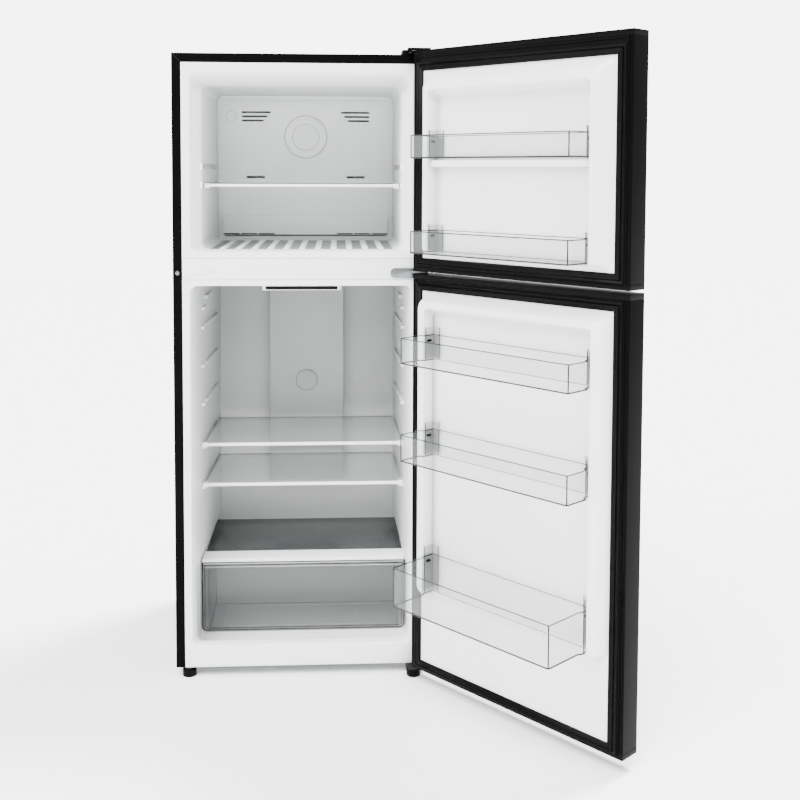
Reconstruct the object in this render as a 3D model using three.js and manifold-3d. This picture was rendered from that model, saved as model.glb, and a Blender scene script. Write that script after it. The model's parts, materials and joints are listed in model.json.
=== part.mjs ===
// A top freezer refrigerator with both doors open: a steel cabinet foamed around two plastic liners, two foamed
// doors on pins, glass shelves, a crisper, door bins, an evaporator and fan, and a compressor. Millimetres, +Z up.
// It is built about the middle of the cabinet's front lower edge, X to the right and Y into the cabinet, and then
// moved so that the origin is the middle of the left front foot's underside.
import * as THREE from "three";
import { mergeVertices } from "three/addons/utils/BufferGeometryUtils.js";
import Module from "manifold-3d";

const wasm = await Module();
wasm.setup();

// ---------------------------------------------------------------- driving dimensions

const GAP = 0.3; // between pieces that touch
const RUN = 0.5; // round a pin or shaft that turns
const SHEET = 1; // painted steel sheet
const SKIN = 2; // vacuum-formed liner

const cabinet = { width: 700, depth: 610, height: 1702, flange: 25 };
const half = cabinet.width / 2;
const door = { gap: 8, thickness: 63, cap: 14, corner: 6, lip: 16, openAngle: 131 };
const hinge = { inset: 15.3, forward: 35.5, pin: 4, pinLength: 11, plate: 3 };
const split = { middle: 1110, between: 8 }; // where the two doors meet
const doorTop = cabinet.height + 6;
const doorBottom = 10;

const freezer = {
  half: 303,
  bottom: 1161,
  top: cabinet.height - 51,
  mouth: 40,
  innerHalf: 274,
  innerBottom: 1167,
  innerTop: cabinet.height - 86,
};
const fridge = {
  half: 306.5,
  bottom: 58,
  top: 1070,
  mouth: 60,
  innerHalf: 293.5,
  innerTop: 1069,
  backHalf: 279,
};
const crisperZone = { half: 302, backHalf: 297, bottom: 32, top: 276 };
const cavityBack = cabinet.depth - 65;
const hump = { front: cavityBack - 173, top: 236 }; // step in the lower liner over the compressor
const machineRoom = { wall: 46, half: 322 };
const mullion = { bottom: 1086, top: 1145, thickness: 1.5 };
const kick = { top: 37, thickness: 1.5 };

const foot = { radius: 19.5, height: 28, pad: 20, stem: 5 };
const leftFoot = { x: -half + 35, y: 16 };
const rightFoot = { x: half - 38, y: -13 }; // in the bottom hinge, ahead of the cabinet
const roller = { radius: 14, width: 18, axle: 3, x: half - 50, y: cabinet.depth - 38 };

const evaporator = {
  y: cavityBack - 105,
  cover: 3,
  half: freezer.innerHalf - 4,
  bottom: freezer.innerBottom + 5,
  top: freezer.innerTop - 12,
  corner: 15,
};
const disc = { z: 1489.5, radius: 66, thickness: 3 };
const fan = { radius: 52, hub: 16, depth: 14, blades: 7 };
const duct = { half: 117, y: cavityBack - 53, wall: 2.5, bottom: 390, top: 1050 };
const badge = { z: 716, radius: 34, thickness: 1.5 };
const control = { half: 108, y: 16, depth: 110, height: 13, lensHalf: 99, lens: 3 };

const glass = 4;
const freezerShelf = { front: 58, back: 395, half: freezer.innerHalf - 3, top: 1348, depth: 8 };
const upperShelf = { front: 124, back: 468, half: fridge.innerHalf - 4, top: 603, depth: 9 };
const lowerShelf = { front: 124, back: 468, half: fridge.innerHalf - 4, top: 486, depth: 9 };
const cover = { front: 159, back: cavityBack - 9, half: 288, bottom: 242, depth: 10 };
const drawer = { front: 161, back: 360, half: 297, trayHalf: 280, bottom: 36, top: 240, wall: 2.5 };
const railHeight = 6;

const dyke = { reach: 32, width: 26, wall: 1.5 };
const gasket = { inner: half - door.lip - 24, width: 24, thickness: 7.4 };
const bin = { wall: 2.2, corner: 7, setBack: 3 };
const freezerBins = [
  { name: "freezer_upper_bin", bottom: 1418, top: 1478 },
  { name: "freezer_lower_bin", bottom: 1172, top: 1231 },
];
const fridgeBins = [
  { name: "fridge_upper_bin", bottom: 882, top: 951 },
  { name: "fridge_middle_bin", bottom: 624, top: 696 },
];
const freezerBin = { front: 101, half: 256 };
const fridgeBin = { front: 116, half: 274 };
const bottleBin = { name: "fridge_bottle_bin", bottom: 250, top: 354, front: 156, half: 258 };

const compressor = { radius: 62, height: 150, x: -150 };
const tube = 4; // refrigerant tube, outside radius

// ---------------------------------------------------------------- shapes and solids

// A rectangle with round corners; one radius, or one each for the low and the high side.
function roundRect(x0, x1, y0, y1, low, high = low) {
  const shape = new THREE.Shape();
  shape.moveTo(x0 + low, y0);
  shape.lineTo(x1 - low, y0);
  shape.absarc(x1 - low, y0 + low, low, -Math.PI / 2, 0);
  shape.lineTo(x1, y1 - high);
  shape.absarc(x1 - high, y1 - high, high, 0, Math.PI / 2);
  shape.lineTo(x0 + high, y1);
  shape.absarc(x0 + high, y1 - high, high, Math.PI / 2, Math.PI);
  shape.lineTo(x0, y0 + low);
  shape.absarc(x0 + low, y0 + low, low, Math.PI, Math.PI * 1.5);
  return shape;
}

function polygon(points) {
  return new THREE.Shape(points.map(([x, y]) => new THREE.Vector2(x, y)));
}

function box(x0, x1, y0, y1, z0, z1) {
  const geometry = new THREE.BoxGeometry(x1 - x0, y1 - y0, z1 - z0);
  return geometry.translate((x0 + x1) / 2, (y0 + y1) / 2, (z0 + z1) / 2);
}

// An outline in X and Y, raised along Z.
function column(shape, z0, z1, curveSegments = 4) {
  const geometry = new THREE.ExtrudeGeometry(shape, { depth: z1 - z0, bevelEnabled: false, curveSegments });
  return geometry.translate(0, 0, z0);
}

// An outline in X and Z, extruded along Y.
function slab(shape, y0, y1, curveSegments = 4) {
  const geometry = new THREE.ExtrudeGeometry(shape, { depth: y1 - y0, bevelEnabled: false, curveSegments });
  return geometry.rotateX(Math.PI / 2).translate(0, y1, 0);
}

// An outline in Y and Z, extruded along X.
function bar(shape, x0, x1, curveSegments = 4) {
  const geometry = new THREE.ExtrudeGeometry(shape, { depth: x1 - x0, bevelEnabled: false, curveSegments });
  const turn = new THREE.Matrix4().makeBasis(
    new THREE.Vector3(0, 1, 0),
    new THREE.Vector3(0, 0, 1),
    new THREE.Vector3(1, 0, 0),
  );
  return geometry.applyMatrix4(turn).translate(x0, 0, 0);
}

function rodZ(radius, x, y, z0, z1, sides = 16) {
  return new THREE.CylinderGeometry(radius, radius, z1 - z0, sides)
    .rotateX(Math.PI / 2)
    .translate(x, y, (z0 + z1) / 2);
}

function rodY(radius, x, z, y0, y1, sides = 24) {
  return new THREE.CylinderGeometry(radius, radius, y1 - y0, sides).translate(x, (y0 + y1) / 2, z);
}

function rodX(radius, y, z, x0, x1, sides = 16) {
  return new THREE.CylinderGeometry(radius, radius, x1 - x0, sides)
    .rotateZ(Math.PI / 2)
    .translate((x0 + x1) / 2, y, z);
}

// A tapered block with round corners through a row of cross-sections, each {y, half, bottom, top}.
function tub(stations, radius) {
  const first = stations[0];
  const high = (first.top - first.bottom) / 2;
  const shape = roundRect(-first.half, first.half, -high, high, radius);
  const steps = stations.length - 1;
  const geometry = new THREE.ExtrudeGeometry(shape, { depth: steps, steps, bevelEnabled: false, curveSegments: 3 });
  const position = geometry.getAttribute("position");
  for (let i = 0; i < position.count; i += 1) {
    const at = stations[Math.round(position.getZ(i))];
    const x = -position.getX(i) * (at.half / first.half);
    const z = (at.top + at.bottom) / 2 + (position.getY(i) * (at.top - at.bottom)) / (2 * high);
    position.setXYZ(i, x, at.y, z);
  }
  return geometry;
}

function toSolid(geometry) {
  const bare = geometry.clone();
  bare.deleteAttribute("normal");
  bare.deleteAttribute("uv");
  const merged = mergeVertices(bare, 1e-4);
  const mesh = new wasm.Mesh({
    numProp: 3,
    vertProperties: merged.getAttribute("position").array,
    triVerts: new Uint32Array(merged.index.array),
  });
  return new wasm.Manifold(mesh);
}

function toGeometry(solid) {
  const mesh = solid.getMesh();
  const geometry = new THREE.BufferGeometry();
  geometry.setAttribute("position", new THREE.BufferAttribute(new Float32Array(mesh.vertProperties), 3));
  geometry.setIndex(new THREE.BufferAttribute(new Uint32Array(mesh.triVerts), 1));
  return geometry;
}

function join(...parts) {
  return toGeometry(parts.map(toSolid).reduce((whole, part) => whole.add(part)));
}

function cut(body, ...tools) {
  return toGeometry(tools.map(toSolid).reduce((whole, tool) => whole.subtract(tool), toSolid(body)));
}

function keep(body, region) {
  return toGeometry(toSolid(body).intersect(toSolid(region)));
}

// ---------------------------------------------------------------- finishes

const finish = {
  blackSteel: { color: 0x1b1b1c, roughness: 0.38, metalness: 0.5 },
  blackPlastic: { color: 0x161616, roughness: 0.5, metalness: 0 },
  whitePlastic: { color: 0xf1f2f2, roughness: 0.42, metalness: 0 },
  clearPlastic: { color: 0xdfe6e8, roughness: 0.08, metalness: 0, transparent: true, opacity: 0.3 },
  glass: { color: 0xcfdcda, roughness: 0.05, metalness: 0, transparent: true, opacity: 0.3 },
  greyGlass: { color: 0x7f8486, roughness: 0.08, metalness: 0, transparent: true, opacity: 0.6 },
  rubber: { color: 0x202020, roughness: 0.7, metalness: 0 },
  zinc: { color: 0xb9bcbf, roughness: 0.35, metalness: 1 },
  aluminium: { color: 0xc4c7c9, roughness: 0.4, metalness: 1 },
  foam: { color: 0xe9dcae, roughness: 0.95, metalness: 0 },
};

function piece(group, name, geometry, look) {
  const mesh = new THREE.Mesh(geometry, new THREE.MeshStandardMaterial(look));
  mesh.name = name;
  group.add(mesh);
}

const hingeX = half - hinge.inset;
const hingeY = -hinge.forward;
const doorBack = -door.gap;
const doorFront = doorBack - door.thickness;
const refrigerator = new THREE.Group();
const cabinetGroup = new THREE.Group();
refrigerator.add(cabinetGroup);

// ---------------------------------------------------------------- cabinet

// One sheet folded over the sides and the top, with a flange turned in round the front.
const shellInside = half - SHEET;
piece(
  cabinetGroup,
  "cabinet_shell",
  cut(
    box(-half, half, 0, cabinet.depth, 0, cabinet.height),
    box(-shellInside, shellInside, SHEET, cabinet.depth + 1, -1, cabinet.height - SHEET),
    box(-half + cabinet.flange, half - cabinet.flange, -1, SHEET + 1, -1, cabinet.height - cabinet.flange),
  ),
  finish.blackSteel,
);

// Cavities, as the outside of each liner and the air inside it.
function freezerBlock(wall) {
  const inner = {
    half: freezer.innerHalf + wall,
    bottom: freezer.innerBottom - wall,
    top: freezer.innerTop + wall,
  };
  const mouth = { half: freezer.half + wall, bottom: freezer.bottom - wall, top: freezer.top + wall };
  const back = cavityBack + wall;
  return tub([{ y: 0, ...mouth }, { y: freezer.mouth, ...inner }, { y: back, ...inner }], 18 + wall);
}

function fridgeBlock(wall) {
  const back = cavityBack + wall;
  const bottom = fridge.bottom - wall;
  const innerTop = fridge.innerTop + wall;
  const upper = tub(
    [
      { y: 0, half: fridge.half + wall, bottom, top: fridge.top + wall },
      { y: fridge.mouth, half: fridge.innerHalf + wall, bottom, top: innerTop },
      { y: back, half: fridge.backHalf + wall, bottom, top: innerTop },
    ],
    18 + wall,
  );
  const floor = crisperZone.bottom - wall;
  const lower = tub(
    [
      { y: fridge.mouth / 2, half: crisperZone.half + wall, bottom: floor, top: crisperZone.top },
      { y: back, half: crisperZone.backHalf + wall, bottom: floor, top: crisperZone.top },
    ],
    18 + wall,
  );
  const humpFront = hump.front + wall;
  const humpBlock = box(-half, half, humpFront, back + 10, 0, hump.top - wall);
  return cut(join(upper, lower), humpBlock);
}

function linerFlange(bottom, top, opening) {
  return cut(
    box(-half + cabinet.flange + GAP, half - cabinet.flange - GAP, 0, mullion.thickness, bottom, top),
    keep(opening, box(-half, half, -5, 5, 0, cabinet.height)),
  );
}

// A liner: its block less the air, open at the front.
function shellOf(block, air) {
  return cut(block(SKIN), air);
}

const freezerAir = freezerBlock(0);
const fridgeAir = fridgeBlock(0);

// Grooves for the freezer shelf: one in use and one spare, cut back into the walls.
const grooveDepth = 9;
const grooves = [freezerShelf.top - freezerShelf.depth / 2, freezerShelf.top + 50].flatMap((z) =>
  [-1, 1].map((side) => {
    const inner = side * (freezer.innerHalf - 2);
    const outer = side * (freezer.innerHalf + grooveDepth);
    return box(Math.min(inner, outer), Math.max(inner, outer), 22, freezerShelf.back + 8, z - 8, z + 8);
  }),
);
const grooveShells = grooves.map((groove) => {
  groove.computeBoundingBox();
  const { min, max } = groove.boundingBox;
  return box(min.x - SKIN, max.x + SKIN, min.y - SKIN, max.y + SKIN, min.z - SKIN, max.z + SKIN);
});

// Ribs along the freezer floor.
const ribs = [];
const ribPitch = 44;
for (let i = -5; i <= 5; i += 1) {
  const x = i * ribPitch;
  const z = freezer.innerBottom;
  ribs.push(box(x - 11, x + 11, freezer.mouth + 8, evaporator.y - 14, z - 1, z + 3));
}
const freezerTop = cabinet.height - cabinet.flange - GAP;
const freezerLiner = join(
  cut(
    join(freezerBlock(SKIN), ...grooveShells, linerFlange(mullion.top + GAP, freezerTop, freezerAir)),
    freezerAir,
    ...grooves,
    box(-freezer.half + 30, freezer.half - 30, -2, 1, freezer.bottom + 30, freezer.top - 30),
  ),
  ...ribs,
);
piece(cabinetGroup, "freezer_liner", freezerLiner, finish.whitePlastic);

// Ledges along both side walls of the fridge, which the shelves run on, with spare ones above.
function wallHalfAt(y) {
  const t = (y - fridge.mouth) / (cavityBack - fridge.mouth);
  return fridge.innerHalf + (fridge.backHalf - fridge.innerHalf) * t;
}
const ledge = { front: 136, back: 452, width: 9, height: 10 };
const ledgeTops = [upperShelf.top - upperShelf.depth - GAP, lowerShelf.top - lowerShelf.depth - GAP, 718, 828, 940];
const ledges = ledgeTops.flatMap((z) =>
  [-1, 1].map((side) => {
    const outline = polygon([
      [side * (wallHalfAt(ledge.front) - ledge.width), ledge.front],
      [side * (wallHalfAt(ledge.front) + 1), ledge.front],
      [side * (wallHalfAt(ledge.back) + 1), ledge.back],
      [side * (wallHalfAt(ledge.back) - ledge.width), ledge.back],
    ]);
    return column(outline, z - ledge.height, z);
  }),
);
const coverRails = [-1, 1].map((side) => {
  const inner = side * (cover.half - 6);
  const outer = side * (crisperZone.half + 1);
  const z = cover.bottom - GAP;
  return box(Math.min(inner, outer), Math.max(inner, outer), drawer.front + 12, 520, z - railHeight, z);
});
const fridgeLiner = keep(
  join(
    cut(
      join(fridgeBlock(SKIN), linerFlange(kick.top + GAP, mullion.bottom - GAP, fridgeAir)),
      fridgeAir,
      box(-fridge.half + 30, fridge.half - 30, -2, 1, fridge.bottom + 30, fridge.top - 30),
    ),
    ...ledges,
    ...coverRails,
  ),
  join(
    box(-half, half, -1, mullion.thickness, 0, cabinet.height),
    keep(fridgeBlock(SKIN), box(-half, half, mullion.thickness - 1, cabinet.depth, 0, cabinet.height)),
  ),
);
piece(cabinetGroup, "fridge_liner", fridgeLiner, finish.whitePlastic);

piece(
  cabinetGroup,
  "mullion_cover",
  box(-half + cabinet.flange + GAP, half - cabinet.flange - GAP, 0, mullion.thickness, mullion.bottom, mullion.top),
  finish.whitePlastic,
);
piece(
  cabinetGroup,
  "kick_panel",
  box(-half + cabinet.flange + GAP, half - cabinet.flange - GAP, 0, kick.thickness, 0, kick.top),
  finish.whitePlastic,
);

// An oblong plug over the unused hinge holes, and the screw in the flange beside it.
const plug = { x0: -half + 43, x1: -half + 108, z0: 1102, z1: 1118, height: 1.6 };
piece(
  cabinetGroup,
  "hinge_hole_plug",
  slab(roundRect(plug.x0, plug.x1, plug.z0, plug.z1, 7.9), -plug.height - GAP, -GAP, 6),
  finish.whitePlastic,
);
piece(
  cabinetGroup,
  "flange_screw",
  rodY(6, -half + cabinet.flange / 2, (plug.z0 + plug.z1) / 2 - 5, -2.5 - GAP, -GAP, 16),
  finish.zinc,
);

// The base: a floor sheet with sockets for the feet, ears and axles for the rollers.
const machineFront = hump.front + machineRoom.wall;
const machineTop = hump.top - machineRoom.wall;
const floorSheet = 1.5;
const rollerZ = roller.radius - foot.height;
const socket = rodZ(9, leftFoot.x, leftFoot.y, -7, 1, 12);
const stemHole = rodZ(foot.stem + RUN, leftFoot.x, leftFoot.y, -8, floorSheet + 8, 12);
const ears = [-1, 1].flatMap((side) =>
  [-1, 1].map((hand) => {
    const x = side * roller.x + hand * (roller.width / 2 + 2.5);
    return box(x - 1, x + 1, roller.y - 8, roller.y + 8, rollerZ - 6, 1);
  }),
);
const axles = [-1, 1].map((side) => {
  const reach = roller.width / 2 + 3;
  return rodX(roller.axle, roller.y, rollerZ, side * roller.x - reach, side * roller.x + reach, 10);
});
piece(
  cabinetGroup,
  "base_frame",
  cut(
    join(
      box(-half + SHEET + GAP, half - SHEET - GAP, kick.thickness + GAP, cabinet.depth - SHEET - GAP, 0, floorSheet),
      socket,
      ...ears,
      ...axles,
    ),
    stemHole,
  ),
  finish.zinc,
);
[-1, 1].forEach((side) => {
  const hand = side < 0 ? "left" : "right";
  const at = side < 0 ? leftFoot : rightFoot;
  piece(
    cabinetGroup,
    `front_foot_${hand}`,
    join(
      rodZ(foot.radius, at.x, at.y, -foot.height, -foot.height + foot.pad, 20),
      rodZ(foot.stem, at.x, at.y, -foot.height + 1, floorSheet + 4, 12),
    ),
    finish.blackPlastic,
  );
  const bore = roller.axle + RUN;
  const profile = [
    [bore, -roller.width / 2],
    [roller.radius, -roller.width / 2],
    [roller.radius, roller.width / 2],
    [bore, roller.width / 2],
    [bore, -roller.width / 2],
  ].map(([x, y]) => new THREE.Vector2(x, y));
  piece(
    cabinetGroup,
    `rear_roller_${hand}`,
    new THREE.LatheGeometry(profile, 20).rotateZ(Math.PI / 2).translate(side * roller.x, roller.y, rollerZ),
    finish.blackPlastic,
  );
});

// Foam between the shell and the liners, with a step for the machine room.
const foamFoot = floorSheet + GAP;
const clear = SKIN + GAP;
const stemWell = rodZ(foot.stem + 4, leftFoot.x, leftFoot.y, 0, 12, 8);
piece(
  cabinetGroup,
  "cabinet_foam",
  cut(
    box(
      -half + SHEET + GAP,
      half - SHEET - GAP,
      Math.max(mullion.thickness, SHEET) + GAP,
      cabinet.depth - SHEET - 2 * GAP,
      foamFoot,
      cabinet.height - SHEET - GAP,
    ),
    freezerBlock(clear),
    ...grooveShells.map((shell) => {
      shell.computeBoundingBox();
      const { min, max } = shell.boundingBox;
      return box(min.x - GAP, max.x + GAP, min.y - GAP, max.y + GAP, min.z - GAP, max.z + GAP);
    }),
    fridgeBlock(clear),
    box(-machineRoom.half, machineRoom.half, machineFront, cabinet.depth + 1, -1, machineTop),
    stemWell,
  ),
  finish.foam,
);

piece(
  cabinetGroup,
  "back_panel",
  box(
    -half + SHEET + GAP,
    half - SHEET - GAP,
    cabinet.depth - SHEET,
    cabinet.depth,
    machineTop + 2,
    cabinet.height - SHEET - GAP,
  ),
  finish.zinc,
);

// The machine room's cover, a sheet with rows of louvres.
const louvres = [];
for (let row = 0; row < 5; row += 1) {
  for (let i = 0; i < 5; i += 1) {
    const x = -232 + i * 116;
    const z = 50 + row * 24;
    louvres.push(box(x - 42, x + 42, cabinet.depth - 10, cabinet.depth + 10, z - 4, z + 4));
  }
}
piece(
  cabinetGroup,
  "machine_room_cover",
  cut(
    box(
      -half + SHEET + GAP,
      half - SHEET - GAP,
      cabinet.depth - SHEET,
      cabinet.depth,
      floorSheet + GAP,
      machineTop + 2 - GAP,
    ),
    ...louvres,
  ),
  finish.zinc,
);

// ---------------------------------------------------------------- cooling

const upperSlots = [];
const lowerSlots = [];
[-1, 1].forEach((side) => {
  [109, 120, 131].forEach((inner, i) => {
    const z = evaporator.top - 38 - i * 13;
    const ends = [side * inner, side * 198];
    upperSlots.push(box(Math.min(...ends), Math.max(...ends), evaporator.y - 5, evaporator.y + 5, z - 3, z + 3));
  });
  const ends = [side * 127, side * 184];
  const z = 1365;
  lowerSlots.push(box(Math.min(...ends), Math.max(...ends), evaporator.y - 5, evaporator.y + 5, z - 3.5, z + 3.5));
});
const coverPlate = slab(
  roundRect(-evaporator.half, evaporator.half, evaporator.bottom, evaporator.top, 4, evaporator.corner),
  evaporator.y,
  evaporator.y + evaporator.cover,
);
const intake = { half: 255, bottom: 1186, top: 1246, depth: 12 };
const intakeBox = box(
  -intake.half,
  intake.half,
  evaporator.y - intake.depth,
  evaporator.y + 1,
  intake.bottom,
  intake.top,
);
const intakeAir = box(
  -intake.half + 2,
  intake.half - 2,
  evaporator.y - intake.depth + 2,
  evaporator.y + 10,
  intake.bottom - 10,
  intake.top - 2,
);
piece(
  cabinetGroup,
  "evaporator_cover",
  cut(
    join(coverPlate, intakeBox),
    intakeAir,
    ...upperSlots,
    ...lowerSlots,
    rodY(disc.radius - 8, 0, disc.z, evaporator.y - 5, evaporator.y + 10, 28),
  ),
  finish.whitePlastic,
);
piece(
  cabinetGroup,
  "fan_disc",
  rodY(disc.radius, 0, disc.z, evaporator.y - disc.thickness - GAP, evaporator.y - GAP, 36),
  finish.whitePlastic,
);

// Fan on a motor behind the disc.
const fanY = evaporator.y + evaporator.cover + 10;
const blades = [];
for (let i = 0; i < fan.blades; i += 1) {
  const blade = new THREE.BoxGeometry(fan.radius - fan.hub + 6, 2, fan.depth);
  blade.rotateX(0.6);
  blade.translate((fan.radius + fan.hub - 6) / 2, 0, 0);
  blade.rotateZ((i * 2 * Math.PI) / fan.blades);
  blade.rotateX(Math.PI / 2);
  blade.translate(0, fanY + fan.depth / 2, disc.z);
  blades.push(blade);
}
piece(
  cabinetGroup,
  "evaporator_fan",
  join(rodY(fan.hub, 0, disc.z, fanY, fanY + fan.depth, 16), ...blades),
  finish.blackPlastic,
);
piece(
  cabinetGroup,
  "fan_motor",
  join(
    rodY(20, 0, disc.z, fanY + fan.depth + 2, fanY + fan.depth + 30, 16),
    box(-70, 70, fanY + fan.depth + 22, fanY + fan.depth + 26, disc.z - 6, disc.z + 6),
  ),
  finish.blackPlastic,
);

// Finned evaporator: a comb of fins on a spine, with the defrost heater below it.
const fins = [];
const finPitch = 38;
const coil = { half: 230, y0: evaporator.y + 20, y1: cavityBack - 12, bottom: 1230, top: 1400 };
for (let x = -coil.half; x <= coil.half; x += finPitch) {
  fins.push([x, x + 2]);
}
const comb = fins.flatMap(([a, b]) => [[a, coil.y1 - 6], [a, coil.y0], [b, coil.y0], [b, coil.y1 - 6]]);
const combEnd = fins[fins.length - 1][1];
const combOutline = [[-coil.half, coil.y1], ...comb.slice(1), [combEnd, coil.y1]];
piece(
  cabinetGroup,
  "evaporator_coil",
  join(
    column(polygon(combOutline), coil.bottom, coil.top),
    ...[0, 1].map((i) => rodX(tube, coil.y0 + 30, coil.bottom + 40 + i * 90, -coil.half - 12, combEnd + 12, 8)),
  ),
  finish.aluminium,
);
const heaterPath = new THREE.CatmullRomCurve3(
  [
    [-210, 1222],
    [-215, 1212],
    [-205, 1204],
    [0, 1204],
    [205, 1204],
    [215, 1212],
    [210, 1222],
  ].map(([x, z]) => new THREE.Vector3(x, evaporator.y + 60, z)),
);
const round = new THREE.Shape().absarc(0, 0, tube, 0, Math.PI * 2);
piece(
  cabinetGroup,
  "defrost_heater",
  new THREE.ExtrudeGeometry(round, { steps: 24, extrudePath: heaterPath, curveSegments: 4, bevelEnabled: false }),
  finish.aluminium,
);

// The air duct down the back of the fridge, open behind, with outlets in both sides.
const ductOutlets = [520, 640, 780, 900].map((z) =>
  box(-duct.half - 5, duct.half + 5, duct.y + 14, duct.y + 34, z - 9, z + 9),
);
piece(
  cabinetGroup,
  "air_duct",
  cut(
    box(-duct.half, duct.half, duct.y, cavityBack - GAP, duct.bottom, duct.top),
    box(
      -duct.half + duct.wall,
      duct.half - duct.wall,
      duct.y + duct.wall,
      cavityBack + 5,
      duct.bottom + duct.wall,
      duct.top - duct.wall,
    ),
    ...ductOutlets,
  ),
  finish.whitePlastic,
);
piece(
  cabinetGroup,
  "duct_badge",
  rodY(badge.radius, 0, badge.z, duct.y - badge.thickness - GAP, duct.y - GAP, 32),
  finish.whitePlastic,
);

// Control strip and lamp under the ceiling.
const ceiling = fridge.innerTop - GAP;
const controlBottom = ceiling - control.height;
piece(
  cabinetGroup,
  "control_housing",
  cut(
    box(-control.half, control.half, control.y, control.y + control.depth, controlBottom, ceiling),
    box(-control.half + 3, control.half - 3, control.y + 24, control.y + control.depth - 4, 0, ceiling - 3),
  ),
  finish.whitePlastic,
);
piece(
  cabinetGroup,
  "control_lens",
  box(
    -control.lensHalf,
    control.lensHalf,
    control.y - control.lens - GAP,
    control.y - GAP,
    controlBottom + 2,
    ceiling - 2,
  ),
  finish.blackPlastic,
);
piece(
  cabinetGroup,
  "lamp_cover",
  box(
    -control.half + 3 + GAP,
    control.half - 3 - GAP,
    control.y + 24 + GAP,
    control.y + control.depth - 4 - GAP,
    controlBottom,
    controlBottom + 3,
  ),
  finish.clearPlastic,
);

// ---------------------------------------------------------------- machine room

const machineMiddle = (machineFront + cabinet.depth) / 2;
const shellProfile = [];
shellProfile.push(new THREE.Vector2(0, 0));
for (let i = 0; i <= 5; i += 1) {
  const a = (i / 5) * (Math.PI / 2);
  shellProfile.push(new THREE.Vector2(compressor.radius - 20 + 20 * Math.sin(a), 20 - 20 * Math.cos(a)));
}
for (let i = 0; i <= 5; i += 1) {
  const a = (i / 5) * (Math.PI / 2);
  const drop = 40 * (1 - Math.sin(a));
  const reach = compressor.radius - 40 + 40 * Math.cos(a);
  shellProfile.push(new THREE.Vector2(i === 5 ? 0 : reach, compressor.height - drop));
}
const dome = new THREE.LatheGeometry(shellProfile, 20).rotateX(Math.PI / 2);
dome.translate(compressor.x, machineMiddle, floorSheet + GAP + 8);
piece(
  cabinetGroup,
  "compressor",
  join(
    dome,
    box(compressor.x - 85, compressor.x + 85, machineMiddle - 30, machineMiddle + 30, floorSheet + GAP, 14),
    box(compressor.x + 50, compressor.x + 82, machineMiddle - 22, machineMiddle + 22, 55, 110),
  ),
  finish.blackSteel,
);
const pan = { x0: 0, x1: 250, y0: machineFront + 18, y1: cabinet.depth - 30, z0: floorSheet + GAP, z1: 34 };
piece(
  cabinetGroup,
  "drain_pan",
  cut(
    box(pan.x0, pan.x1, pan.y0, pan.y1, pan.z0, pan.z1),
    box(pan.x0 + 2, pan.x1 - 2, pan.y0 + 2, pan.y1 - 2, pan.z0 + 2, pan.z1 + 5),
  ),
  finish.blackPlastic,
);
// The condenser, a serpentine tube over the pan.
const runs = 5;
const condenserPoints = [];
const condenser = { x0: pan.x0 + 20, x1: pan.x1 - 20, y: machineMiddle, z0: 56, pitch: 26 };
const bend = condenser.pitch / 2;
for (let i = 0; i < runs; i += 1) {
  const z = condenser.z0 + i * condenser.pitch;
  const right = i % 2 === 0;
  const from = right ? condenser.x0 : condenser.x1;
  const to = right ? condenser.x1 : condenser.x0;
  condenserPoints.push([from, z], [(from + to) / 2, z], [to, z]);
  if (i < runs - 1) condenserPoints.push([to + (right ? bend : -bend), z + bend]);
}
const condenserPath = new THREE.CatmullRomCurve3(
  condenserPoints.map(([x, z]) => new THREE.Vector3(x, condenser.y, z)),
  false,
  "catmullrom",
  0.4,
);
piece(
  cabinetGroup,
  "condenser_coil",
  new THREE.ExtrudeGeometry(round, { steps: 72, extrudePath: condenserPath, curveSegments: 4, bevelEnabled: false }),
  finish.blackSteel,
);

// ---------------------------------------------------------------- shelves and crisper

// A shelf: a moulded frame with a front trim and side runners, and a glass pane let into it.
function shelf(name, size, tint, wallAt) {
  const group = new THREE.Group();
  const side = (y) => Math.min(size.half, wallAt(y) - 1);
  const edge = 12;
  const low = size.top - size.depth;
  const outline = polygon([
    [-side(size.front), size.front],
    [side(size.front), size.front],
    [side(size.back), size.back],
    [-side(size.back), size.back],
  ]);
  const window = polygon([
    [-side(size.front) + edge, size.front + edge],
    [side(size.front) - edge, size.front + edge],
    [side(size.back) - edge, size.back - edge],
    [-side(size.back) + edge, size.back - edge],
  ]);
  const rebate = polygon([
    [-side(size.front) + 4, size.front + 4],
    [side(size.front) - 4, size.front + 4],
    [side(size.back) - 4, size.back - 4],
    [-side(size.back) + 4, size.back - 4],
  ]);
  const seat = size.top - glass - GAP;
  piece(
    group,
    `${name}_frame`,
    cut(column(outline, low, size.top), column(window, low - 1, size.top + 1), column(rebate, seat, size.top + 1)),
    finish.whitePlastic,
  );
  const inset = 4 + GAP;
  const pane = polygon([
    [-side(size.front) + inset, size.front + inset],
    [side(size.front) - inset, size.front + inset],
    [side(size.back) - inset, size.back - inset],
    [-side(size.back) + inset, size.back - inset],
  ]);
  piece(group, `${name}_glass`, column(pane, seat + GAP, size.top), tint);
  refrigerator.add(group);
}
shelf("freezer_shelf", freezerShelf, finish.glass, () => freezer.innerHalf + grooveDepth);
shelf("upper_shelf", upperShelf, finish.glass, wallHalfAt);
shelf("lower_shelf", lowerShelf, finish.glass, wallHalfAt);
const coverSize = {
  front: cover.front,
  back: cover.back,
  half: cover.half + 8,
  top: cover.bottom + cover.depth,
  depth: cover.depth,
};
shelf("crisper_cover", coverSize, finish.greyGlass, (y) => {
  const t = (y - fridge.mouth / 2) / (cavityBack - fridge.mouth / 2);
  const lower = crisperZone.half + (crisperZone.backHalf - crisperZone.half) * t;
  return Math.min(lower, cover.bottom + cover.depth > crisperZone.top ? wallHalfAt(y) : lower);
});

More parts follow.
